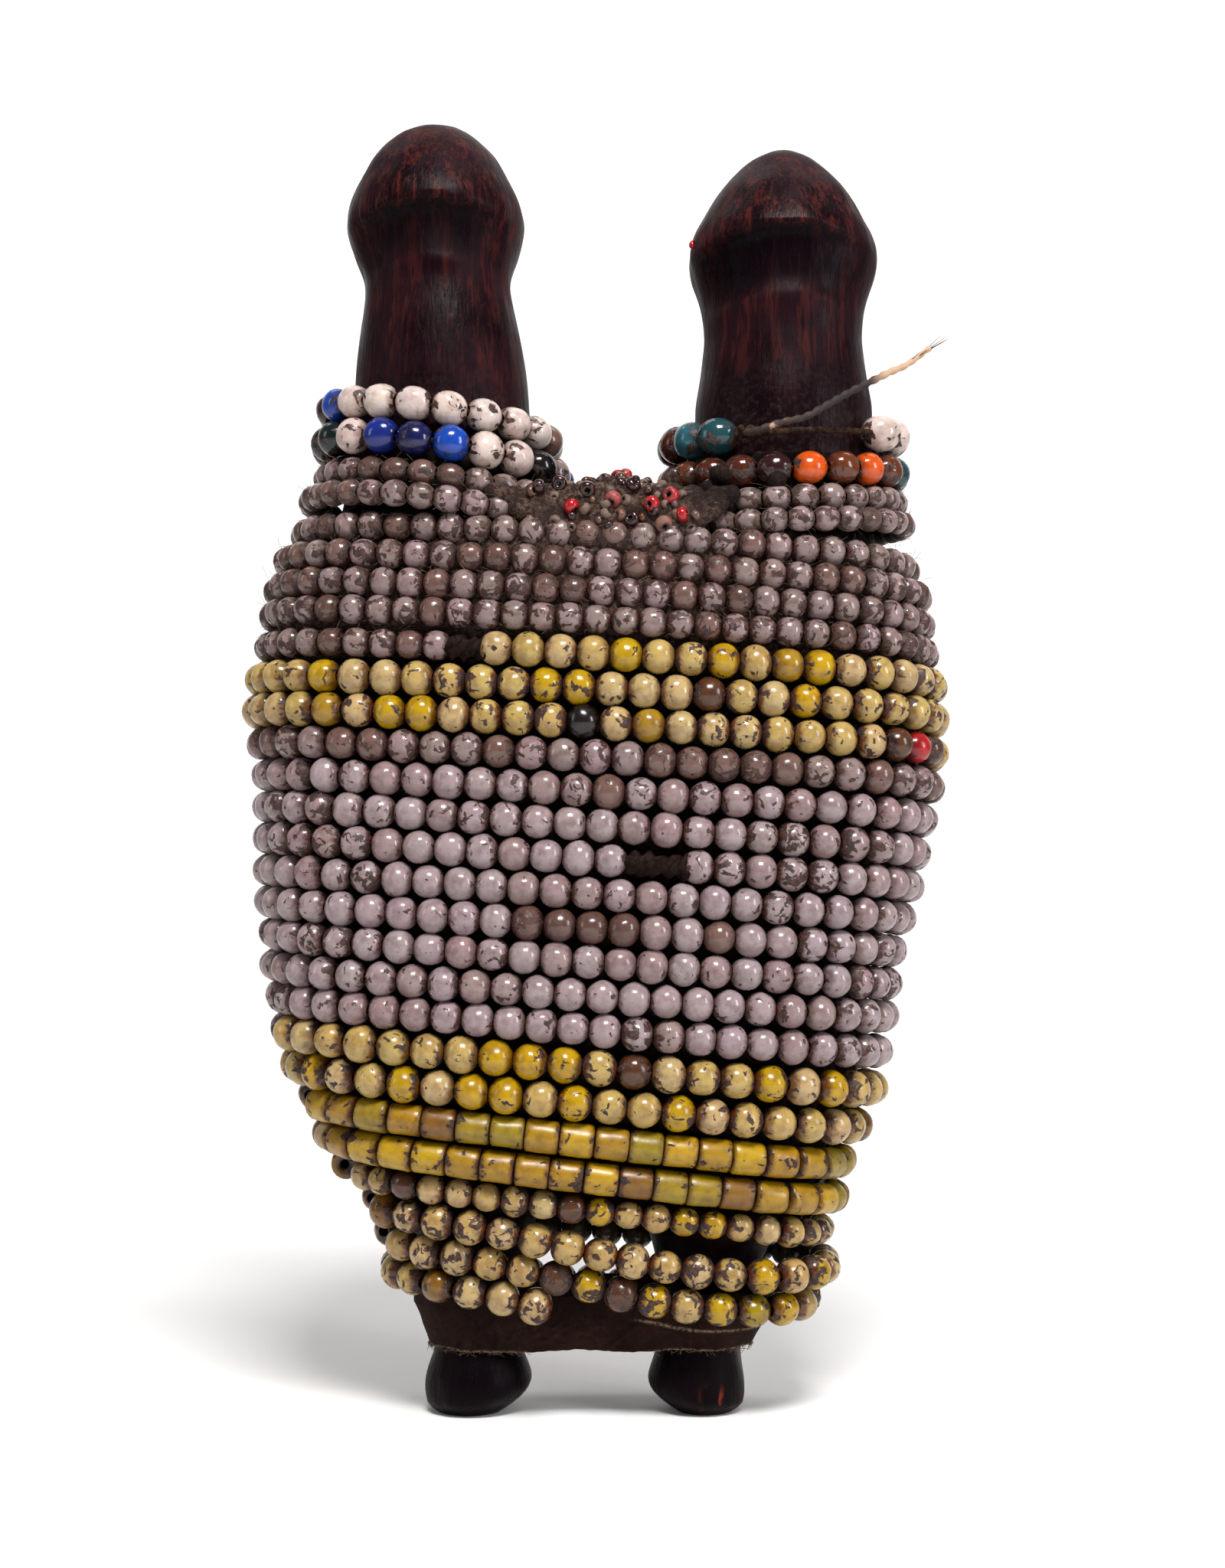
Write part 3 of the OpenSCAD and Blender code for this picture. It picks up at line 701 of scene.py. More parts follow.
look_tan = look_of({"tan": 5, "pale_cream": 4, "brown": 0.4, "ochre": 0.5, "yellow": 0.8}, 0.15,
                   lambda: 0.35 + 0.6 * rng.random(), lambda: 1.02 + 0.1 * (rng.random() - 0.5))


# Beads that stand out: node, place across the front and height in millimetres, colour
SPECIAL = {
    "upper_yellow_strand_beads": [
        (0.6, 123, "black"), (-35.2, 124.3, "yellow"), (-29.4, 123.6, "yellow"), (51.3, 118.8, "brown"),
        (54.6, 117.7, "red"), (57, 117.7, "brown"), (-8.5, 129.1, "yellow"), (34.3, 127, "yellow"),
        (22.1, 127.8, "brown"), (6.9, 134.5, "yellow"), (19.4, 134.2, "yellow"),
        (36.9, 133.1, "yellow"), (31.5, 133.4, "dull_yellow")],
    "white_strand_2_beads": [(-6.9, 89, "dusky"), (-1.8, 88.5, "dusky"), (3.4, 88.1, "dusky"),
                             (-12, 89.4, "dusky")],
    "lower_yellow_strand_beads": [
        (-2.9, 64.1, "yellow"), (27.8, 61.5, "yellow"), (39.2, 61.2, "yellow"), (9.4, 63.7, "brown"),
        (-33.4, 60.3, "yellow"), (-22.5, 58.9, "yellow"), (-16.8, 58.5, "yellow"),
        (13.4, 56.4, "yellow")],
    "small_yellow_strand_beads": [(-11.5, 39.9, "tan"), (-5.4, 38.9, "brown"), (13.2, 37.3, "yellow"),
                                  (18.3, 36, "yellow")],
    "shin_strand_beads": [(-4.1, 24.8, "yellow"), (8.3, 23.2, "yellow"), (19.5, 21.9, "yellow"),
                          (25.5, 21.5, "olive"), (-30.9, 20, "cream")],
    "left_loop_1_beads": [
        (-46.9, 174.5, "blue"), (-44.9, 175.3, "bone"), (-42.4, 176.4, "bone"), (-37.8, 177.7, "bone"),
        (-33.4, 177.3, "bone"), (-28.2, 178, "bone"), (-22.9, 176.4, "bone"), (-17.9, 174.5, "bone"),
        (-13.6, 172.8, "bone"), (-10, 171.2, "brown_white"), (-7.1, 169.1, "maroon")],
    "left_loop_2_beads": [
        (-46.6, 169.4, "bottle"), (-43.6, 169.9, "bone"), (-40.3, 171.8, "cobalt"),
        (-35.8, 171.8, "navy"), (-30.3, 171.8, "blue"), (-24.6, 171, "bone"), (-19.3, 169.3, "bone"),
        (-13.9, 167.5, "black"), (-9, 167.5, "dusty")],
    "right_loop_1_beads": [(16.6, 173.9, "turquoise"), (21.1, 174.2, "teal"), (10.7, 171.3, "maroon"),
                           (13.6, 171.9, "chestnut"), (46.6, 171.9, "bone"), (51.1, 171, "bone")],
    "right_loop_2_beads": [
        (17.6, 163, "amber"), (24.1, 163.8, "chestnut"), (31.5, 165.4, "maroon"),
        (37.8, 166.1, "orange"), (43.7, 165.8, "amber"), (48.6, 165.2, "orange"),
        (51.8, 164.5, "amber"), (53, 163.2, "teal")],
}
# How worn the beads of these colours are
LOUD = {"bone": 0.35, "black": 0.2, "blue": 0.25, "cobalt": 0.2, "navy": 0.2, "bottle": 0.2,
        "turquoise": 0.5, "teal": 0.5, "orange": 0.2, "red": 0.2}


def look_loop(colours, dust):
    """A maker of looks for a loop whose colours are all as common."""
    def look(i, at):
        name = pick(colours)
        return {"tint": GLASS[name], "wear": 0.3 + 0.5 * rng.random(), "dust": dust}
    return look


# Squared distances in millimetres that rule out a bead at the back, or one that is taken
NEVER, TAKEN = 1e6, 1e5


def with_specials(node, base):
    """Gives the beads nearest to the listed places their own colours."""
    centres, _, _ = bead_places(node, "loop" in node)
    chosen = {}
    facing = centres[:, 1] < 4 * MM
    for x, z, name in SPECIAL.get(node, []):
        off = (centres[:, 0] / MM - x) ** 2 + 0.5 * (centres[:, 2] / MM - z) ** 2
        off = off + np.where(facing, 0, NEVER)
        for k in chosen:
            off[k] += TAKEN
        chosen[int(np.argmin(off))] = name

    def look(i, at):
        found = base(i, at)
        if i in chosen:
            found["tint"] = GLASS[chosen[i]]
            found["wear"] = LOUD.get(chosen[i], found["wear"])
        return found
    return look


# Node, its maker of looks, its material, its record slot, and how much the beads swell
STRANDS = [
    ("shoulder_strand_1", look_shoulder, "white", "shoulder_glass", 1.14),
    ("shoulder_strand_2", look_shoulder, "white", "shoulder_glass", 1.14),
    ("upper_yellow_strand", look_cream, "yellow", "cream_glass", 1.12),
    ("brown_white_strand", look_brown_white, "white", "brown_white_glass", 1.11),
    ("white_strand_1", look_white, "white", "white_glass", 1.12),
    ("white_strand_2", look_white, "white", "white_glass", 1.12),
    ("white_strand_3", look_white, "white", "white_glass", 1.12),
    ("lower_yellow_strand", look_lower_yellow, "yellow", "yellow_glass", 1.11),
    ("tube_strand", look_tube, "tube", "mustard_glass", 1.1),
    ("small_yellow_strand", look_small_yellow, "yellow", "yellow_glass", 1.08),
    ("loose_strand", look_tan, "yellow", "tan_glass", 1.11),
    ("shin_strand", look_tan, "yellow", "tan_glass", 1.11),
]
# Node, its maker of looks and its record slot
LOOPS = [
    ("left_loop_1", look_loop(["bone", "bone", "blue", "maroon"], 0.25), "blue_glass"),
    ("left_loop_2", look_loop(["bone", "cobalt", "black", "navy"], 0.25), "dark_blue_glass"),
    ("left_loop_3", look_shoulder, "shoulder_glass"),
    ("left_loop_4", look_shoulder, "shoulder_glass"),
    ("right_loop_1", look_loop(["turquoise", "maroon", "chestnut", "lime", "bone"], 0.35),
     "turquoise_glass"),
    ("right_loop_2", look_loop(["amber", "maroon", "chestnut", "orange"], 0.4), "amber_glass"),
    ("right_loop_3", look_shoulder, "shoulder_glass"),
    ("right_loop_4", look_shoulder, "shoulder_glass"),
]
BODY_OF = {node: body for body, nodes in frame["record"]["behaviour"]["bodies"].items()
           for node in nodes}


def add_piece(thing, material, body):
    """Material and body of a piece that no CAD node stands for."""
    thing.data.materials.append(MATERIALS[material])
    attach(thing, body)
    return thing


def give(thing, material, node):
    """Material, body and replaced node of a piece, in one go."""
    add_piece(thing, material, BODY_OF[node])
    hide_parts(node)


ROW_STRING_R, LOOP_STRING_R, KNOT_STRING_R = 0.5 * MM, 0.56 * MM, 0.52 * MM


def twine_through(name, node, centres):
    """A two-ply string through the middles of the beads."""
    route = smooth_curve(centres, 5)
    verts, faces = tube(route, ROW_STRING_R, 6, twist=2600, lobes=2, lobe_depth=0.16)
    give(quick_mesh(name, verts, faces), "twine", node)


ends_of = {}
for key, base_look, glass, slot, swell in STRANDS:
    node = key + "_beads"
    beads, centres = make_beads(key.replace("strand", "glass"), node, with_specials(node, base_look),
                                swell=swell, is_tube=key == "tube_strand")
    give(beads, glass, node)
    twine_through(key + "_twine", key + "_string", centres)
    ends_of[key] = (centres[0], centres[-1])

for key, base_look, slot in LOOPS:
    node = key + "_beads"
    middle = sum(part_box(key + "_string"), Vector((0, 0, 0))) / 2
    glass = "white" if slot == "shoulder_glass" else "colour"
    beads, centres = make_beads(key.replace("loop", "ring"), node, with_specials(node, base_look),
                                loop=True, swell=1.06, outward_from=np.array(middle))
    give(beads, glass, node)


# ---- Outside surfaces of CAD nodes, for the pieces made over them

# Half width and half depth of the oval that spreads the rays evenly round a wide node
BODY_OVAL = (0.05, 0.022)
BINDING_OVAL = (0.04, 0.018)
BAND_OVAL = (0.029, 0.011)
EDGE_ROOM = 0.05 * MM


def ray_tree(node):
    """A ray tester for a CAD node, in the row frame."""
    thing = frame["nodes"][node]
    verts = [thing.matrix_world @ v.co for v in thing.data.vertices]
    return BVHTree.FromPolygons(verts, [tuple(p.vertices) for p in thing.data.polygons])


def ring_middle(tree, z):
    """Middle of a node's section at a height."""
    far = 0.3
    sides = []
    for sign in (-1, 1):
        hit = tree.ray_cast(Vector((sign * far, 0, z)), Vector((-sign, 0, 0)), 2 * far)[0]
        sides.append(hit.x if hit else 0)
    return sum(sides) / 2


def outside_rings(node, heights, around, even=None):
    """Middle x of each ring, the angles, and the outside radius at each height and angle."""
    tree = ray_tree(node)
    turns = np.arange(around) * 2 * math.pi / around
    angles = turns if even is None else np.arctan2(even[1] * np.sin(turns), even[0] * np.cos(turns))
    middles = np.zeros(len(heights))
    radii = np.zeros((len(heights), around))
    for i, z in enumerate(heights):
        middles[i] = ring_middle(tree, z)
        for j, angle in enumerate(angles):
            way = Vector((math.cos(angle), math.sin(angle), 0))
            hit = tree.ray_cast(Vector((middles[i], 0, z)) + 0.2 * way, -way, 0.4)[0]
            radii[i, j] = math.hypot(hit.x - middles[i], hit.y) if hit else radii[max(i - 1, 0), j]
    return middles, angles, radii


def node_rings(node, rings, around, even=None, over_top=-EDGE_ROOM):
    """A CAD node's outside: heights of its rings, then their middles, angles and radii."""
    low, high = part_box(node)
    heights = np.linspace(low.z + EDGE_ROOM, high.z + over_top, rings)
    return (heights, *outside_rings(node, heights, around, even))


def ring_points(middles, angles, radii, heights):
    """Points of stacked rings as an array (rings, around, 3)."""
    x = middles[:, None] + radii * np.cos(angles)
    y = radii * np.sin(angles)
    z = np.broadcast_to(heights[:, None] if np.ndim(heights) == 1 else heights, x.shape)
    return np.stack([x, y, z], axis=-1)


def bump_field(points, size, seed=0.0, stretch=(1, 1, 1)):
    """Smooth noise at an array of points of any shape, with bumps of a size in metres."""
    flat = points.reshape(-1, 3) * np.asarray(stretch) / size + seed * 7.31
    return np.array([noise.noise(Vector(p)) for p in flat]).reshape(points.shape[:-1])


def gentle(value, low, high):
    """Smooth step from 0 at low to 1 at high."""
    t = np.clip((value - low) / (high - low), 0, 1)
    return t * t * (3 - 2 * t)


# ---- Carved figures

FIGURE_AROUND = 144
FRONT_ANGLE = -math.pi / 2
# Each figure's undercut below the brow: its lowest and highest place, its middle angle from the
# front, half its width in angle, and its depth
UNDERCUTS = {
    "left_figure": (203.5 * MM, 213 * MM, -0.05, 0.85, 2.7 * MM),
    "right_figure": (197 * MM, 208.5 * MM, -0.22, 1.0, 3.0 * MM),
}
CHIPPED_FOOT = "right_figure"


def undercut(points_z, angles, low, high, middle, half, depth):
    """How far the wood is cut in under the brow: steep at its top edge, gentle at its foot."""
    rise = 1.6 * MM * np.cos(2 * (angles - FRONT_ANGLE))
    s = np.clip((points_z - low - rise) / (high - low), 0, 1)
    shape = s ** 0.9 * (1 - s) ** 0.4 / 0.51
    off = np.angle(np.exp(1j * (angles - FRONT_ANGLE - middle)))
    return depth * shape * np.exp(-np.abs(off / half) ** 3)


# Heights between which the foot ends, and between which the head and the neck begin
FOOT_END, HEAD_START, NECK_START = (10 * MM, 20 * MM), (190 * MM, 206 * MM), (176 * MM, 190 * MM)


def make_figure(node):
    """A carving: tool strokes on its head and foot, its undercut with painted shade in it, and worn and
    dusty places.
    """
    low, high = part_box(node)
    total = high.z - low.z
    share = np.linspace(0, 1, 250)
    heights = low.z + total * (share - 0.035 * np.sin(2 * math.pi * share) / math.pi)
    heights = np.clip(heights, low.z + 0.02 * MM, high.z - 0.02 * MM)
    middles, angles, radii = outside_rings(node, heights, FIGURE_AROUND)
    points = ring_points(middles, angles, radii, heights)
    z = points[..., 2]
    head = gentle(z, *HEAD_START)
    foot = 1 - gentle(z, *FOOT_END)
    strokes = np.abs(bump_field(points, 6.5 * MM, 3, (1, 1, 0.45)))
    radii = radii - head * 0.55 * MM * (0.5 - strokes) - foot * 0.3 * MM * (0.4 - strokes)
    radii = radii + 0.28 * MM * bump_field(points, 17 * MM, 1, (1, 1, 0.5))
    radii = radii + 0.05 * MM * bump_field(points, 1.3 * MM, 2, (1, 1, 0.12))
    cut = undercut(z, angles[None, :], *UNDERCUTS[node])
    radii = radii - cut
    inner_side = np.clip(np.cos(angles) * -np.sign(middles[0]), -1, 1)[None, :]
    hoof_high = (4.5 + 2.5 * inner_side) * MM
    hoof_in = (3.2 + 1.8 * inner_side) * MM
    radii = radii - hoof_in * np.clip(1 - z / hoof_high, 0, 1) ** 2
    points = ring_points(middles, angles, radii, heights)
    rings = len(heights)
    faces = ring_faces(rings, FIGURE_AROUND)
    verts = points.reshape(-1, 3)
    bottom = np.array([[middles[0], 0, low.z]])
    top = np.array([[middles[-1], 0, high.z - 0.1 * MM]])
    around = np.arange(FIGURE_AROUND)
    following = (around + 1) % FIGURE_AROUND
    last = (rings - 1) * FIGURE_AROUND
    base = len(verts)
    bottom_fan = np.stack([np.full_like(around, base), following, around, around], axis=1)
    top_fan = np.stack([np.full_like(around, base + 1), last + around, last + following,
                        last + following], axis=1)
    quads = [tuple(f) for f in faces]
    fans = [tuple(f[:3]) for f in np.vstack([bottom_fan, top_fan])]
    mesh = bpy.data.meshes.new(node + "_carving")
    all_points = np.vstack([verts, bottom, top])
    mesh.from_pydata([tuple(p) for p in all_points], [], quads + fans)
    mesh.shade_smooth()
    zz = all_points[:, 2]
    front = np.clip(-all_points[:, 1] / (12 * MM), -1, 1)
    red = 0.15 + 0.75 * gentle(zz, 206 * MM, 216 * MM) + 0.35 * gentle(zz, *NECK_START)
    chipped = np.zeros(len(zz))
    if node == CHIPPED_FOOT:
        chipped = (1 - gentle(zz, 4 * MM, 7 * MM)) * gentle(all_points[:, 0], 17 * MM, 21 * MM)
        chipped = chipped * gentle(front, 0.0, 0.4)
    dust = 0.25 * (1 - gentle(zz, *NECK_START)) * gentle(zz, 150 * MM, 160 * MM)
    # Painted shade in the undercut, darkest where the cut is deepest.
    sunk = np.append(0.8 * np.clip(cut / (1.6 * MM), 0, 1).ravel(), [0, 0])
    put_attributes(mesh, {"red": red, "chipped": chipped, "dust": dust, "sunk": sunk})
    give(add_object(node + "_carving", mesh), "wood", node)


for figure in UNDERCUTS:
    make_figure(figure)


# ---- Cloth

def cloth_shell(name, outer, thickness, weave, fray=None):
    """A closed shell of cloth from its outside points (rings, around, 3), and its sizes laid flat."""
    rings, around = outer.shape[:2]
    across = np.roll(outer, -1, 1) - np.roll(outer, 1, 1)
    up = np.gradient(outer, axis=0)
    normal = unit(np.cross(across, up))
    inner = outer - normal * thickness
    stack = np.concatenate([outer, inner[::-1]])
    verts = stack.reshape(-1, 3)
    faces = ring_faces(2 * rings, around, closed_rings=True)
    fray = np.zeros((rings, around)) if fray is None else fray
    weave = np.concatenate([weave, weave[::-1]]).reshape(-1, 3)
    fray = np.concatenate([fray, fray[::-1]]).reshape(-1)
    thing = quick_mesh(name, verts, faces, {"weave": weave, "fray": fray})
    girth = np.linalg.norm(np.roll(outer, -1, 1) - outer, axis=2).sum(axis=1).mean()
    height = np.linalg.norm(np.diff(outer, axis=0), axis=2).sum(axis=0).mean()
    return thing, (float(girth), float(height))


def weave_lengths(points):
    """Lengths round and up the cloth in millimetres, for its threads."""
    step = np.linalg.norm(np.roll(points, -1, 1) - points, axis=2).mean(axis=0)
    round_it = np.concatenate([[0], np.cumsum(step)[:-1]])
    up = np.concatenate([[0], np.cumsum(np.linalg.norm(np.diff(points, axis=0), axis=2).mean(axis=1))])
    rings, around = points.shape[:2]
    return np.stack([np.tile(round_it, (rings, 1)), np.tile(up[:, None], (1, around)),
                     np.zeros((rings, around))], axis=-1) / MM


FRAYED_THREADS = 260
THREAD_R = 0.05 * MM
BAND_THICK, WRAP_THICK = 0.45 * MM, 0.5 * MM


def make_leg_band():
    """Two turns of soiled ribbed cotton: folds, a crumpled knot left of the middle, frayed edges."""
    low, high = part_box("leg_band")
    around, rings = 420, 46
    heights, middles, angles, radii = node_rings("leg_band", rings, around, BAND_OVAL, 3.2 * MM)
    z = np.tile(heights[:, None], (1, around))
    points = ring_points(middles, angles, radii, heights)
    x = points[..., 0]
    front = gentle(-points[..., 1], 0, 5 * MM)
    # The upper layer's lower edge falls from the middle to the right and runs on round the back
    layer_edge = 15.8 * MM + 2.6 * MM * (1 - gentle(x, 4 * MM, 20 * MM)) + 1.2 * MM * (1 - front)
    upper = gentle(z, layer_edge - 0.25 * MM, layer_edge + 0.1 * MM) * gentle(x, 3 * MM, 7 * MM)
    fold_line = (z - 12 * MM) - 0.9 * (x - 1.5 * MM)
    fold = np.exp(-(fold_line / (0.5 * MM)) ** 2) * front * (1 - gentle(x, 7 * MM, 8 * MM)) \
        * gentle(x, 1 * MM, 2 * MM)
    knot = np.exp(-((x + 7.5 * MM) / (3.6 * MM)) ** 2 - ((z - 15 * MM) / (3 * MM)) ** 2) * front
    long_folds = bump_field(points, 7 * MM, 5, (0.35, 0.35, 2.0))
    crumple = np.abs(bump_field(points, 2.2 * MM, 6, (1, 1, 1.3)))
    out = 0.5 * MM * upper + 0.45 * MM * fold + 0.3 * MM * long_folds
    out = out + knot * (1.3 * MM - 1.5 * MM * crumple) + 0.1 * MM * bump_field(points, 3 * MM, 9)
    hem = 0.7 * MM * bump_field(points, 9 * MM, 8, (1, 1, 0)) + 0.15 * MM * bump_field(points, 1.2 * MM, 8)
    rise = (high.z - z) / (high.z - low.z)
    z = z + (hem + 0.4 * MM) * rise
    points = ring_points(middles, angles, radii + out, z)
    fray = np.exp(-((z - layer_edge) / (0.22 * MM)) ** 2) * gentle(x, 6 * MM, 9 * MM)
    legs = np.maximum(1 - gentle(x, -14 * MM, -11 * MM), gentle(x, 9 * MM, 12 * MM))
    fray = np.maximum(fray, gentle(rise, 0.93, 0.99) * legs)
    band, flat = cloth_shell("leg_band_cloth", points, BAND_THICK, weave_lengths(points), fray)
    give(band, "band", "leg_band")
    threads = frayed_threads("leg_band_threads", points[0], legs[0], FRAYED_THREADS)
    threads.parent = band


def frayed_threads(name, edge, weight, count):
    """Short loose threads along a ragged cloth edge."""
    parts = []
    picks = rng.choice(len(edge), count, p=weight / weight.sum())
    for k in picks:
        start = edge[k] + np.array([0, 0, 0.25 * MM])
        along = unit(edge[(k + 1) % len(edge)] - edge[k - 1])
        out = np.cross(along, [0, 0, 1.0])
        reach = (0.5 + 1.1 * rng.random()) * MM
        lean = along * rng.normal(0, 0.9) + out * rng.uniform(-0.1, 0.35) + [0, 0, -0.7]
        bend = along * rng.normal(0, 0.6)
        t = np.linspace(0, 1, 4)[:, None]
        route = start + reach * (t * lean + t * t * bend)
        route[:, 2] = np.maximum(route[:, 2], edge[:, 2].min() - 0.6 * MM)
        parts.append(tube(route, THREAD_R, 3))
    return add_piece(quick_mesh(name, *join_parts(parts)), "hair", "root")


def make_cloth_wrap():
    """The wrap under the strands, drawn in over the shoulders."""
    heights, middles, angles, radii = node_rings("cloth_wrap", 96, 260, BODY_OVAL)
    top, top_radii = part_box("cloth_wrap")[1].z, radii[-1]
    for inset, lift in ((0.9, 1.7), (2.0, 2.9), (3.2, 3.7)):
        heights = np.append(heights, top + lift * MM)
        middles = np.append(middles, middles[-1])
        radii = np.vstack([radii, top_radii - inset * MM])
    points = ring_points(middles, angles, radii, heights)
    folds = bump_field(points, 11 * MM, 4, (1, 1, 0.4))
    points = ring_points(middles, angles, radii - 0.3 * MM + 0.28 * MM * folds, heights)
    wrap, flat = cloth_shell("cloth_wrap_cloth", points, WRAP_THICK, weave_lengths(points))
    give(wrap, "wrap", "cloth_wrap")


def make_strip(node, name, material, rings, around, even, thickness, folds):
    """A wound strip of rag over a hidden CAD band or collar."""
    heights, middles, angles, radii = node_rings(node, rings, around, even)
    points = ring_points(middles, angles, radii, heights)
    ripple = bump_field(points, 5 * MM, 3, (0.5, 0.5, 2.2))
    radii = radii - 0.25 * MM + folds * ripple
    points = ring_points(middles, angles, radii, heights)
    strip, flat = cloth_shell(name, points, thickness, weave_lengths(points))
    give(strip, material, node)


def make_padding():
    """Wadded rags: the CAD solid remeshed finely and made lumpy."""
    source = frame["nodes"]["rag_padding"]
    mesh = source.data.copy()
    mesh.transform(source.matrix_world)
    thing = remeshed("rag_padding_wad", mesh, 1.5 * MM)

    def lumpy(co):
        return 0.25 * MM * (bump_field(co, 8 * MM, 2) + 0.5 * bump_field(co, 3 * MM, 5)) - 0.25 * MM

    co = moved_out(thing, lumpy)
    put_attributes(thing.data, {"weave": co[:, [0, 2, 1]] / MM, "fray": np.zeros(len(co))})
    thing.data.update()
    give(thing, "rag", "rag_padding")


def remeshed(name, mesh, voxel):
    """One watertight mesh over all that the given mesh holds."""
    thing = add_object(name, mesh)
    modifier = thing.modifiers.new("voxels", "REMESH")
    modifier.mode = "VOXEL"
    modifier.voxel_size = voxel
    modifier.use_smooth_shade = True
    graph = bpy.context.evaluated_depsgraph_get()
    made = bpy.data.meshes.new_from_object(thing.evaluated_get(graph))
    thing.modifiers.clear()
    thing.data = made
    made.name = name
    made.materials.clear()
    return thing


make_padding()
make_cloth_wrap()
make_leg_band()
for side in ("left", "right"):
    make_strip(side + "_neck_wrap", side + "_neck_rag", "wrap", 24, 200, None, 0.5 * MM,
               0.22 * MM)
for level in ("upper", "lower"):
    make_strip(level + "_binding", level + "_binding_rag", "rag", 20, 220, BINDING_OVAL,
               1.3 * MM, 0.2 * MM)


# ---- Crust between the necks, with seeds under its dust and red seeds on it

CRUST_MIDDLE_X = 3.5 * MM
CRUST_HALF_WIDTH, CRUST_HALF_DEPTH = 13.5 * MM, 22.5 * MM
CRUST_TOP, CRUST_SIDE_FALL, CRUST_FRONT_FALL = 167.4 * MM, 5.6 * MM, 6 * MM
# The tongue that runs down over the rows in front and behind
TONGUE_TOP, TONGUE_LOW = 162 * MM, 152.5 * MM
TONGUE_HALF_WIDTH = 21 * MM
TONGUE_OUT, TONGUE_SLOPE = 22.3 * MM, 0.42
CORE_BALLS, TOP_BALLS, TONGUE_BALLS, BALLS_PER_BEAD = 170, 230, 900, 9


def crust_height(x, y):
    """Top of the crust between the necks: a saddle that falls to the front and back."""
    side = (x - CRUST_MIDDLE_X) / CRUST_HALF_WIDTH
    ridge = CRUST_TOP - CRUST_SIDE_FALL * side ** 2
    return ridge - CRUST_FRONT_FALL * (np.abs(y) / CRUST_HALF_DEPTH) ** 3


def tongue_depth(z):
    """How far the crust's front and back stand from the middle as it runs down over the rows."""
    return TONGUE_OUT + TONGUE_SLOPE * (TONGUE_TOP - z)


def unit_ball():
    """Points and faces of a ball of radius 1."""
    mesh = bmesh.new()
    bmesh.ops.create_icosphere(mesh, subdivisions=2, radius=1)
    points = np.array([v.co for v in mesh.verts])
    faces = np.array([[v.index for v in f.verts] for f in mesh.faces])
    mesh.free()
    return points, faces


BALL = unit_ball()


def balls(specs):
    """Points and faces of many balls: centre, radii along x, y and z, and lean."""
    parts = []
    for centre, radii, lean in specs:
        turn = np.array(Euler(lean).to_matrix())
        parts.append(((BALL[0] * radii) @ turn.T + centre, BALL[1]))
    return join_parts(parts)


TOP_BALL_GAP = 2.35 * MM


def crust_spots(count, x_range, y_range, seed):
    """Even random places over the crust's top, at least a gap apart."""
    spots = []
    own = np.random.default_rng(seed)
    tries = 0
    while len(spots) < count and tries < 40 * count:
        tries += 1
        x = own.uniform(*x_range)
        y = own.uniform(*y_range)
        if all((x - a) ** 2 + (y - b) ** 2 > TOP_BALL_GAP ** 2 for a, b in spots):
            spots.append((x, y))
    return spots


def crust_specs():
    """Balls that together make the mass: its body, its front and back, and resin by a loop."""
    own = np.random.default_rng(5)
    specs = []
    for _ in range(CORE_BALLS):
        x, y = own.uniform(-10.5, 17.5) * MM, own.uniform(-19, 19) * MM
        size = own.uniform(2.2, 3.6) * MM
        drop = size + own.uniform(0, 4) * MM
        specs.append(((x, y, crust_height(x, y) - drop), (size, size, 0.9 * size), own.random(3)))
    for x, y in crust_spots(TOP_BALLS, (-12.5 * MM, 19 * MM), (-22 * MM, 22 * MM), 8):
        r = own.uniform(0.9, 1.35) * MM
        specs.append(((x, y, crust_height(x, y) - 0.35 * r), (r, r, 0.8 * r), own.random(3) * 2))
    for _ in range(TONGUE_BALLS):
        x = CRUST_MIDDLE_X + own.normal(0, 10) * MM
        z = own.uniform(TONGUE_LOW / MM, TONGUE_TOP / MM) * MM
        side = (x - CRUST_MIDDLE_X) / TONGUE_HALF_WIDTH
        if z < TONGUE_TOP - (TONGUE_TOP - TONGUE_LOW) * (1 - side ** 2):
            continue
        r = own.uniform(1.2, 2.1) * MM
        sunk = 0.6 * MM + 1.3 * MM * (1 - gentle(z, 153 * MM, 160 * MM))
        for side in (-1, 1):
            specs.append(((x, side * (tongue_depth(z) - sunk), z), (r, 0.9 * r, r), own.random(3)))
    places, _, _ = bead_places("right_loop_2_beads", True)
    middle = places.mean(axis=0)
    for place in places[(places[:, 0] < 33 * MM) & (places[:, 1] < 8 * MM)]:
        for _ in range(BALLS_PER_BEAD):
            r = own.uniform(1.3, 2.0) * MM
            centre = place + unit(middle - place) * own.uniform(0.2, 2.6) * MM \
                + own.normal(0, 1.6, 3) * MM * [1, 1, 0]
            centre[2] = min(place[2] + own.uniform(-3, 0.8) * MM, 167.6 * MM - r)
            specs.append((centre, (r, r, r), own.random(3)))
    return specs


CRUST_VOXEL = 0.4 * MM


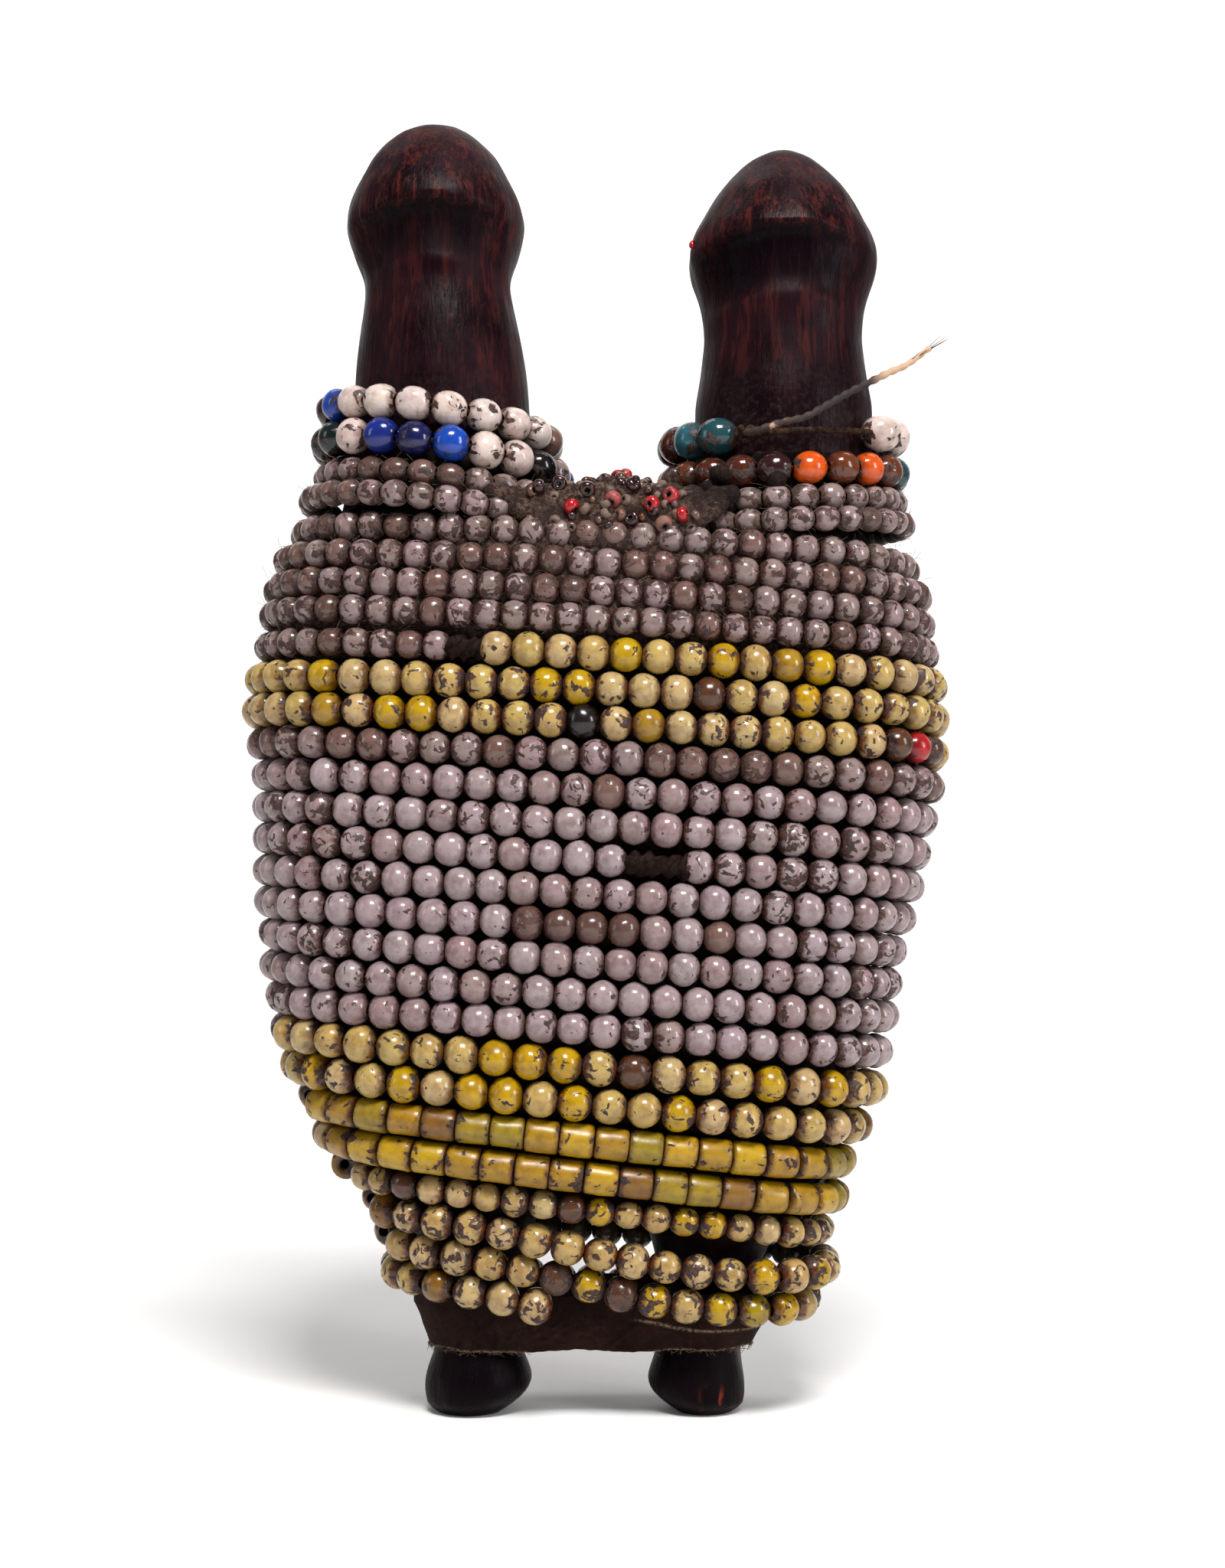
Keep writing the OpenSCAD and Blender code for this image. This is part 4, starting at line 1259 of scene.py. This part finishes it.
def make_crust():
    """A lumpy mass of resin and dust, and a ray tester for what lies on it."""
    rough = quick_mesh("rough_crust", *balls(crust_specs()))
    crust = remeshed("crust_mass", rough.data, CRUST_VOXEL)
    bpy.data.objects.remove(rough)
    lumpy = []

    def bumps(co):
        lumpy.append(bump_field(co, 2.6 * MM, 6))
        return 0.14 * MM * bump_field(co, 0.9 * MM, 3) + 0.1 * MM * lumpy[0]

    co = moved_out(crust, bumps)
    by_loop = gentle(co[:, 0], 13 * MM, 20 * MM) * gentle(co[:, 2], 157 * MM, 162 * MM)
    hollow = np.clip(np.maximum(-1.2 * lumpy[0] - 0.1, by_loop), 0, 1)
    put_attributes(crust.data, {"hollow": hollow})
    crust.data.update()
    give(crust, "crust", "dirt_crust")
    return BVHTree.FromPolygons([Vector(p) for p in co.tolist()],
                                [tuple(p.vertices) for p in crust.data.polygons])


SEED_AROUND = 16
SEED_HOLE, SEED_WEAR, SEED_PATTERN_SPREAD = 0.3, 0.25, 300


def seed_bead(radius):
    """A small ring-shaped bead: its outline turned round Z."""
    outline = [(0.28, -0.62), (0.7, -0.66), (0.95, -0.35), (1.0, 0), (0.95, 0.35), (0.7, 0.66),
               (0.28, 0.62), (0.26, 0)]
    angle = np.arange(SEED_AROUND) * 2 * math.pi / SEED_AROUND
    r, z = np.array(outline).T[..., None] * radius
    points = np.stack([r * np.cos(angle), r * np.sin(angle), z * np.ones(SEED_AROUND)], axis=-1)
    return points.reshape(-1, 3), ring_faces(len(outline), SEED_AROUND, closed_rings=True)


def on_crust(tree, x, y, z):
    """The crust's surface above a place on its top, or before a place on its front or back."""
    hit = None
    if abs(y) > 17 * MM:
        side = -1 if y < 0 else 1
        hit, normal = tree.ray_cast(Vector((x, side * 0.05, z)), Vector((0, -side, 0)), 0.03)[:2]
    if hit is None:
        y = min(max(y, -19 * MM), 19 * MM)
        hit, normal = tree.ray_cast(Vector((x, y, 0.2)), Vector((0, 0, -1)), 0.05)[:2]
    return (None, None) if hit is None else (np.array(hit), np.array(normal))


def make_seeds(name, specs):
    """Small beads from their places, radii and colours, each half bedded in the crust."""
    own = np.random.default_rng(21)
    mesh = GlassMesh()
    for middle, radius, colour, dust in specs:
        points, quads = seed_bead(radius)
        turn = np.array(Euler(own.random(3) * 3).to_matrix())
        # Painted shade inside each seed's hole.
        in_hole = np.hypot(points[:, 0], points[:, 1]) < SEED_HOLE * radius
        mesh.add(points @ turn.T + middle, quads, points / MM + own.random(3) * SEED_PATTERN_SPREAD,
                 GLASS[colour], SEED_WEAR, dust, np.abs(points[:, 2]) / radius, in_hole * 1.0)
    return mesh.made(name)


# A stray red seed stuck to the right figure's head
SEED_ON_HEAD = (17.6 * MM, -4 * MM, 209.8 * MM)
DARK_SEEDS = 260
DARK_SEED_GAP = 1.7 * MM
# Seeds keep this far from the beads of the turning loop beside the crust
TURNING_ROOM = 5.4 * MM


def make_red_seeds(tree):
    """The red seed beads of the CAD node, bedded in the dust."""
    own = np.random.default_rng(4)
    specs = []
    for solid in islands("red_seed_beads"):
        middle = (solid.min(0) + solid.max(0)) / 2
        radius = 0.92 * np.linalg.norm(solid - middle, axis=1).max()
        hit, normal = on_crust(tree, *middle)
        middle = middle if hit is None else hit + 0.3 * radius * normal
        specs.append((middle, radius, "red" if own.random() < 0.65 else "maroon", own.uniform(0.1, 0.6)))
    specs.append((np.array(SEED_ON_HEAD), 0.9 * MM, "red", 0.1))
    give(make_seeds("red_seeds", specs), "colour", "red_seed_beads")


def make_dark_seeds(tree):
    """Many small dark beads, half sunk in the crust's top, front and back."""
    own = np.random.default_rng(12)
    turning, _, _ = bead_places("left_loop_2_beads", True)
    specs = []
    while len(specs) < DARK_SEEDS:
        x = CRUST_MIDDLE_X + own.normal(0, 8.5) * MM
        z = own.uniform(155, 164) * MM
        y = own.uniform(-21, 21) * MM
        hit, normal = on_crust(tree, x, y, z)
        if hit is None or any(np.linalg.norm(hit - s[0]) < DARK_SEED_GAP for s in specs):
            continue
        if np.linalg.norm(turning - hit, axis=1).min() < TURNING_ROOM:
            continue
        radius = own.uniform(0.75, 1.15) * MM
        colour = own.choice(["maroon", "brown", "dusky", "warm_brown"], p=[0.4, 0.2, 0.25, 0.15])
        specs.append((hit + own.uniform(-0.35, 0.3) * radius * normal, radius, str(colour),
                      own.uniform(0.3, 0.8)))
    add_piece(make_seeds("dark_seeds", specs), "colour", "root")


GRIME_FROM = 134 * MM
GRIME_RINGS, GRIME_AROUND = 60, 300


def make_grime():
    """Dust packed between the upper rows, on the cloth and up to half of a bead's thickness."""
    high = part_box("cloth_wrap")[1]
    heights = np.linspace(GRIME_FROM, high.z - EDGE_ROOM, GRIME_RINGS)
    middles, angles, radii = outside_rings("cloth_wrap", heights, GRIME_AROUND, BODY_OVAL)
    points = ring_points(middles, angles, radii, heights)
    depth = 0.3 * MM + 2.3 * MM * gentle(points[..., 2], 135 * MM, 141 * MM)
    near = np.exp(-((points[..., 0] - CRUST_MIDDLE_X) / (22 * MM)) ** 2)
    depth = depth + 1.0 * MM * near * gentle(points[..., 2], 146 * MM, 153 * MM)
    uneven = 0.7 * MM * bump_field(points, 3.2 * MM, 2) + 0.35 * MM * bump_field(points, 1.1 * MM, 4)
    outer = ring_points(middles, angles, radii + depth + uneven, heights)
    grime, _ = cloth_shell("upper_row_grime", outer, 0.5 * MM, weave_lengths(outer))
    add_piece(grime, "crust", "root")


CRUST = make_crust()
make_red_seeds(CRUST)
make_dark_seeds(CRUST)
make_grime()


# ---- Strings of the neck loops, the bare cord stretches, the knot and the cord end

def loop_route(node_beads, node_string, steps):
    """Circle of a neck loop's string, from its beads' plane and its own box."""
    centres, _, _ = bead_places(node_beads, True)
    low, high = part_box(node_string)
    middle = np.array((low + high) / 2)
    _, _, axes = np.linalg.svd(centres - centres.mean(axis=0))
    normal = axes[2] * np.sign(axes[2][2])
    radius = np.median(np.linalg.norm(centres - middle, axis=1))
    first = unit(np.cross([0, 1, 0], normal))
    second = np.cross(normal, first)
    angle = np.arange(steps) * 2 * math.pi / steps
    return middle + radius * (np.cos(angle)[:, None] * first + np.sin(angle)[:, None] * second)


def make_loop_strings():
    for key, _, _ in LOOPS:
        route = loop_route(key + "_beads", key + "_string", 200)
        verts, faces = tube(route, LOOP_STRING_R, 8, twist=2100, lobes=2, lobe_depth=0.18, closed=True)
        string = quick_mesh(key + "_twine", verts, faces)
        give(string, "twine", key + "_string")


TIED_SIDES = 20
TIED_GRAIN = 0.8 * MM


def make_tied_end(name, start, stop):
    """The thick knotted cord where one strand is tied to the next."""
    start, stop = np.array(start), np.array(stop)
    reach = stop - start
    t = np.linspace(0.0, 1.0, 60)[:, None]
    sag = np.array([0, -0.5 * MM, -0.3 * MM]) * np.sin(math.pi * t)
    route = start + t * reach + sag
    lumpy = 1.8 * MM + 0.4 * MM * np.sin(9 * t[:, 0]) * np.sin(23 * t[:, 0] + 1)
    verts, faces = tube(route, lumpy, TIED_SIDES, twist=900, lobes=3, lobe_depth=0.2)
    grain = bump_field(verts + TIED_GRAIN * np.array([51.9, 15.3, 29.1]), TIED_GRAIN)
    middle = route.repeat(TIED_SIDES, axis=0)
    verts = verts + unit(verts - middle) * (0.18 * MM * grain)[:, None]
    add_piece(quick_mesh(name, verts, faces), "dark_twine", "root")


def make_knot():
    """The knot in right loop 1: a trefoil of twine drawn tight."""
    low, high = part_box("loop_knot")
    middle = np.array((low + high) / 2)
    t = np.linspace(0, 2 * math.pi, 120, endpoint=False)
    curve = np.stack([np.sin(t) + 2 * np.sin(2 * t), np.cos(t) - 2 * np.cos(2 * t), -1.4 * np.sin(3 * t)],
                     axis=1) * 0.48 * MM
    turn = np.array(Euler((1.2, 0.3, 0.2)).to_matrix())
    verts, faces = tube(curve @ turn.T + middle, KNOT_STRING_R, 8, twist=2100, lobes=2,
                        lobe_depth=0.15, closed=True)
    knot = quick_mesh("loop_knot_twine", verts, faces)
    give(knot, "twine", "loop_knot")


# The stiff cord end's route, the same points as in the CAD part
CORD_ROUTE = np.array([
    (26, -19.2, 172.8), (28, -21.4, 172.8), (31.5, -22.4, 173.8), (36, -22.8, 174.8),
    (39.5, -22.8, 176.7), (43.5, -22.6, 179), (47, -22.4, 180.8), (50.5, -22, 182.6),
    (53.5, -21.6, 184), (57.5, -21, 187)]) * MM
CORD_D = 1.2 * MM
TIP_HAIRS = 9


def make_cord_end():
    """Two-ply cord, dark at the knot and paler to its frayed tip."""
    route = smooth_curve(CORD_ROUTE, 12)
    t = np.linspace(0, 1, len(route))
    radius = CORD_D / 2 * (1 - 0.25 * gentle(t, 0.75, 1.0))
    verts, faces = tube(route, radius, 14, twist=1700, lobes=2, lobe_depth=0.17)
    cord = quick_mesh("cord_end_twine", verts, faces)
    give(cord, "cord_end", "cord_end")
    own = np.random.default_rng(3)
    along = unit(route[-1] - route[-8])
    hairs = []
    for _ in range(TIP_HAIRS):
        start = route[-1 - int(own.integers(0, 14))]
        side = unit(np.cross(along, own.normal(size=3)))
        reach = own.uniform(2.0, 4.5) * MM
        s = np.linspace(0, 1, 6)[:, None]
        hair = start + s * reach * along + side * (0.2 * MM + 0.5 * MM * s)
        hairs.append(tube(hair, 0.08 * MM * (1 - 0.6 * s[:, 0]), 5))
    tip = add_piece(quick_mesh("cord_end_fray", *join_parts(hairs)), "hair", BODY_OF["cord_end"])


make_loop_strings()
make_tied_end("tied_end_1", ends_of["shoulder_strand_2"][1], ends_of["upper_yellow_strand"][0])
make_tied_end("tied_end_2", ends_of["white_strand_1"][1], ends_of["white_strand_2"][0])
make_knot()
make_cord_end()


# ---- Dust fibres on the upper rows

FIBRES = 2200
FIBRE_R = 0.035 * MM


def make_dust_fibres():
    """Fine pale hairs caught between the top rows of beads."""
    own = np.random.default_rng(17)
    centres = []
    for key in ("shoulder_strand_1", "shoulder_strand_2", "left_loop_3", "left_loop_4",
                "right_loop_3", "right_loop_4"):
        places, sizes, along = bead_places(key + "_beads", "loop" in key)
        centres += [(c, s, a) for c, s, a in zip(places, sizes, along)]
    parts = []
    for _ in range(FIBRES):
        c, size, a = centres[int(own.integers(len(centres)))]
        out = unit(np.cross(a, [0, 0, 1.0]))
        up = own.choice([-1, 1], p=[0.35, 0.65])
        start = c + out * size * own.uniform(0.18, 0.34) + np.array([0, 0, up * size * 0.42]) \
            + a * size * own.uniform(-0.5, 0.5)
        reach = own.uniform(0.5, 1.7) * MM
        way = unit(a * own.normal(0, 1) + out * own.uniform(-0.1, 0.3) + [0, 0, own.uniform(-0.3, 0.4)])
        bend = own.normal(0, 0.5, 3)
        t = np.linspace(0, 1, 5)[:, None]
        parts.append(tube(start + reach * (t * way + t * t * bend), FIBRE_R, 3))
    add_piece(quick_mesh("dust_fibres", *join_parts(parts)), "hair", "root")


make_dust_fibres()


# ---- Floor, light and the finish

def make_stage():
    """A pale floor that curves up behind."""
    across, front, back, rise, bend = 1.6, -1.1, 0.75, 1.3, 0.35
    profile = [(front, 0.0)]
    for angle in np.linspace(0, math.pi / 2, 13).tolist():
        profile.append((back - bend + bend * math.sin(angle), bend - bend * math.cos(angle)))
    profile.append((back, rise))
    points = np.array([(side * across, y, z) for y, z in profile for side in (-1, 1)])
    quads = [(2 * i, 2 * i + 1, 2 * i + 3, 2 * i + 2) for i in range(len(profile) - 1)]
    floor = quick_mesh("floor", points, np.array(quads))
    shade = Shader("floor")
    tone = shade.noise(shade.place(), 3, 2)
    colour = shade.mix(tone, linear(232, 231, 229), linear(238, 237, 236))
    floor.data.materials.append(shade.finish(colour, 0.9))


def area_light(name, place, target, size, watts, colour=(1, 1, 1)):
    data = bpy.data.lights.new(name, "AREA")
    data.shape = "RECTANGLE"
    data.size, data.size_y = size
    data.energy = watts
    data.color = colour
    light = add_object(name, data)
    light.location = place
    light.rotation_euler = (Vector(target) - Vector(place)).to_track_quat("-Z", "Y").to_euler()


ROOM_LIGHT = 0.26


def make_light():
    """A key light above the camera, two windows, one on the backdrop, and the room's own light."""
    middle = (0, 0, 0.12)
    area_light("key", (0.08, -0.52, 0.8), middle, (0.3, 0.2), 10.5, (1.0, 0.985, 0.97))
    area_light("right_window", (0.75, -0.45, 0.35), middle, (0.16, 0.45), 3.4, (0.95, 0.97, 1.0))
    area_light("left_window", (-0.8, -0.3, 0.4), middle, (0.2, 0.5), 0.9)
    area_light("backdrop", (0, 0.3, 0.85), (0, 0.75, 0.25), (0.9, 0.3), 3)
    world = bpy.data.worlds.new("room")
    world.use_nodes = True
    background = world.node_tree.nodes["Background"]
    background.inputs["Color"].default_value = linear(226, 228, 232)
    background.inputs["Strength"].default_value = ROOM_LIGHT
    bpy.context.scene.world = world
    bpy.context.scene.view_settings.view_transform = "Standard"


make_stage()
make_light()
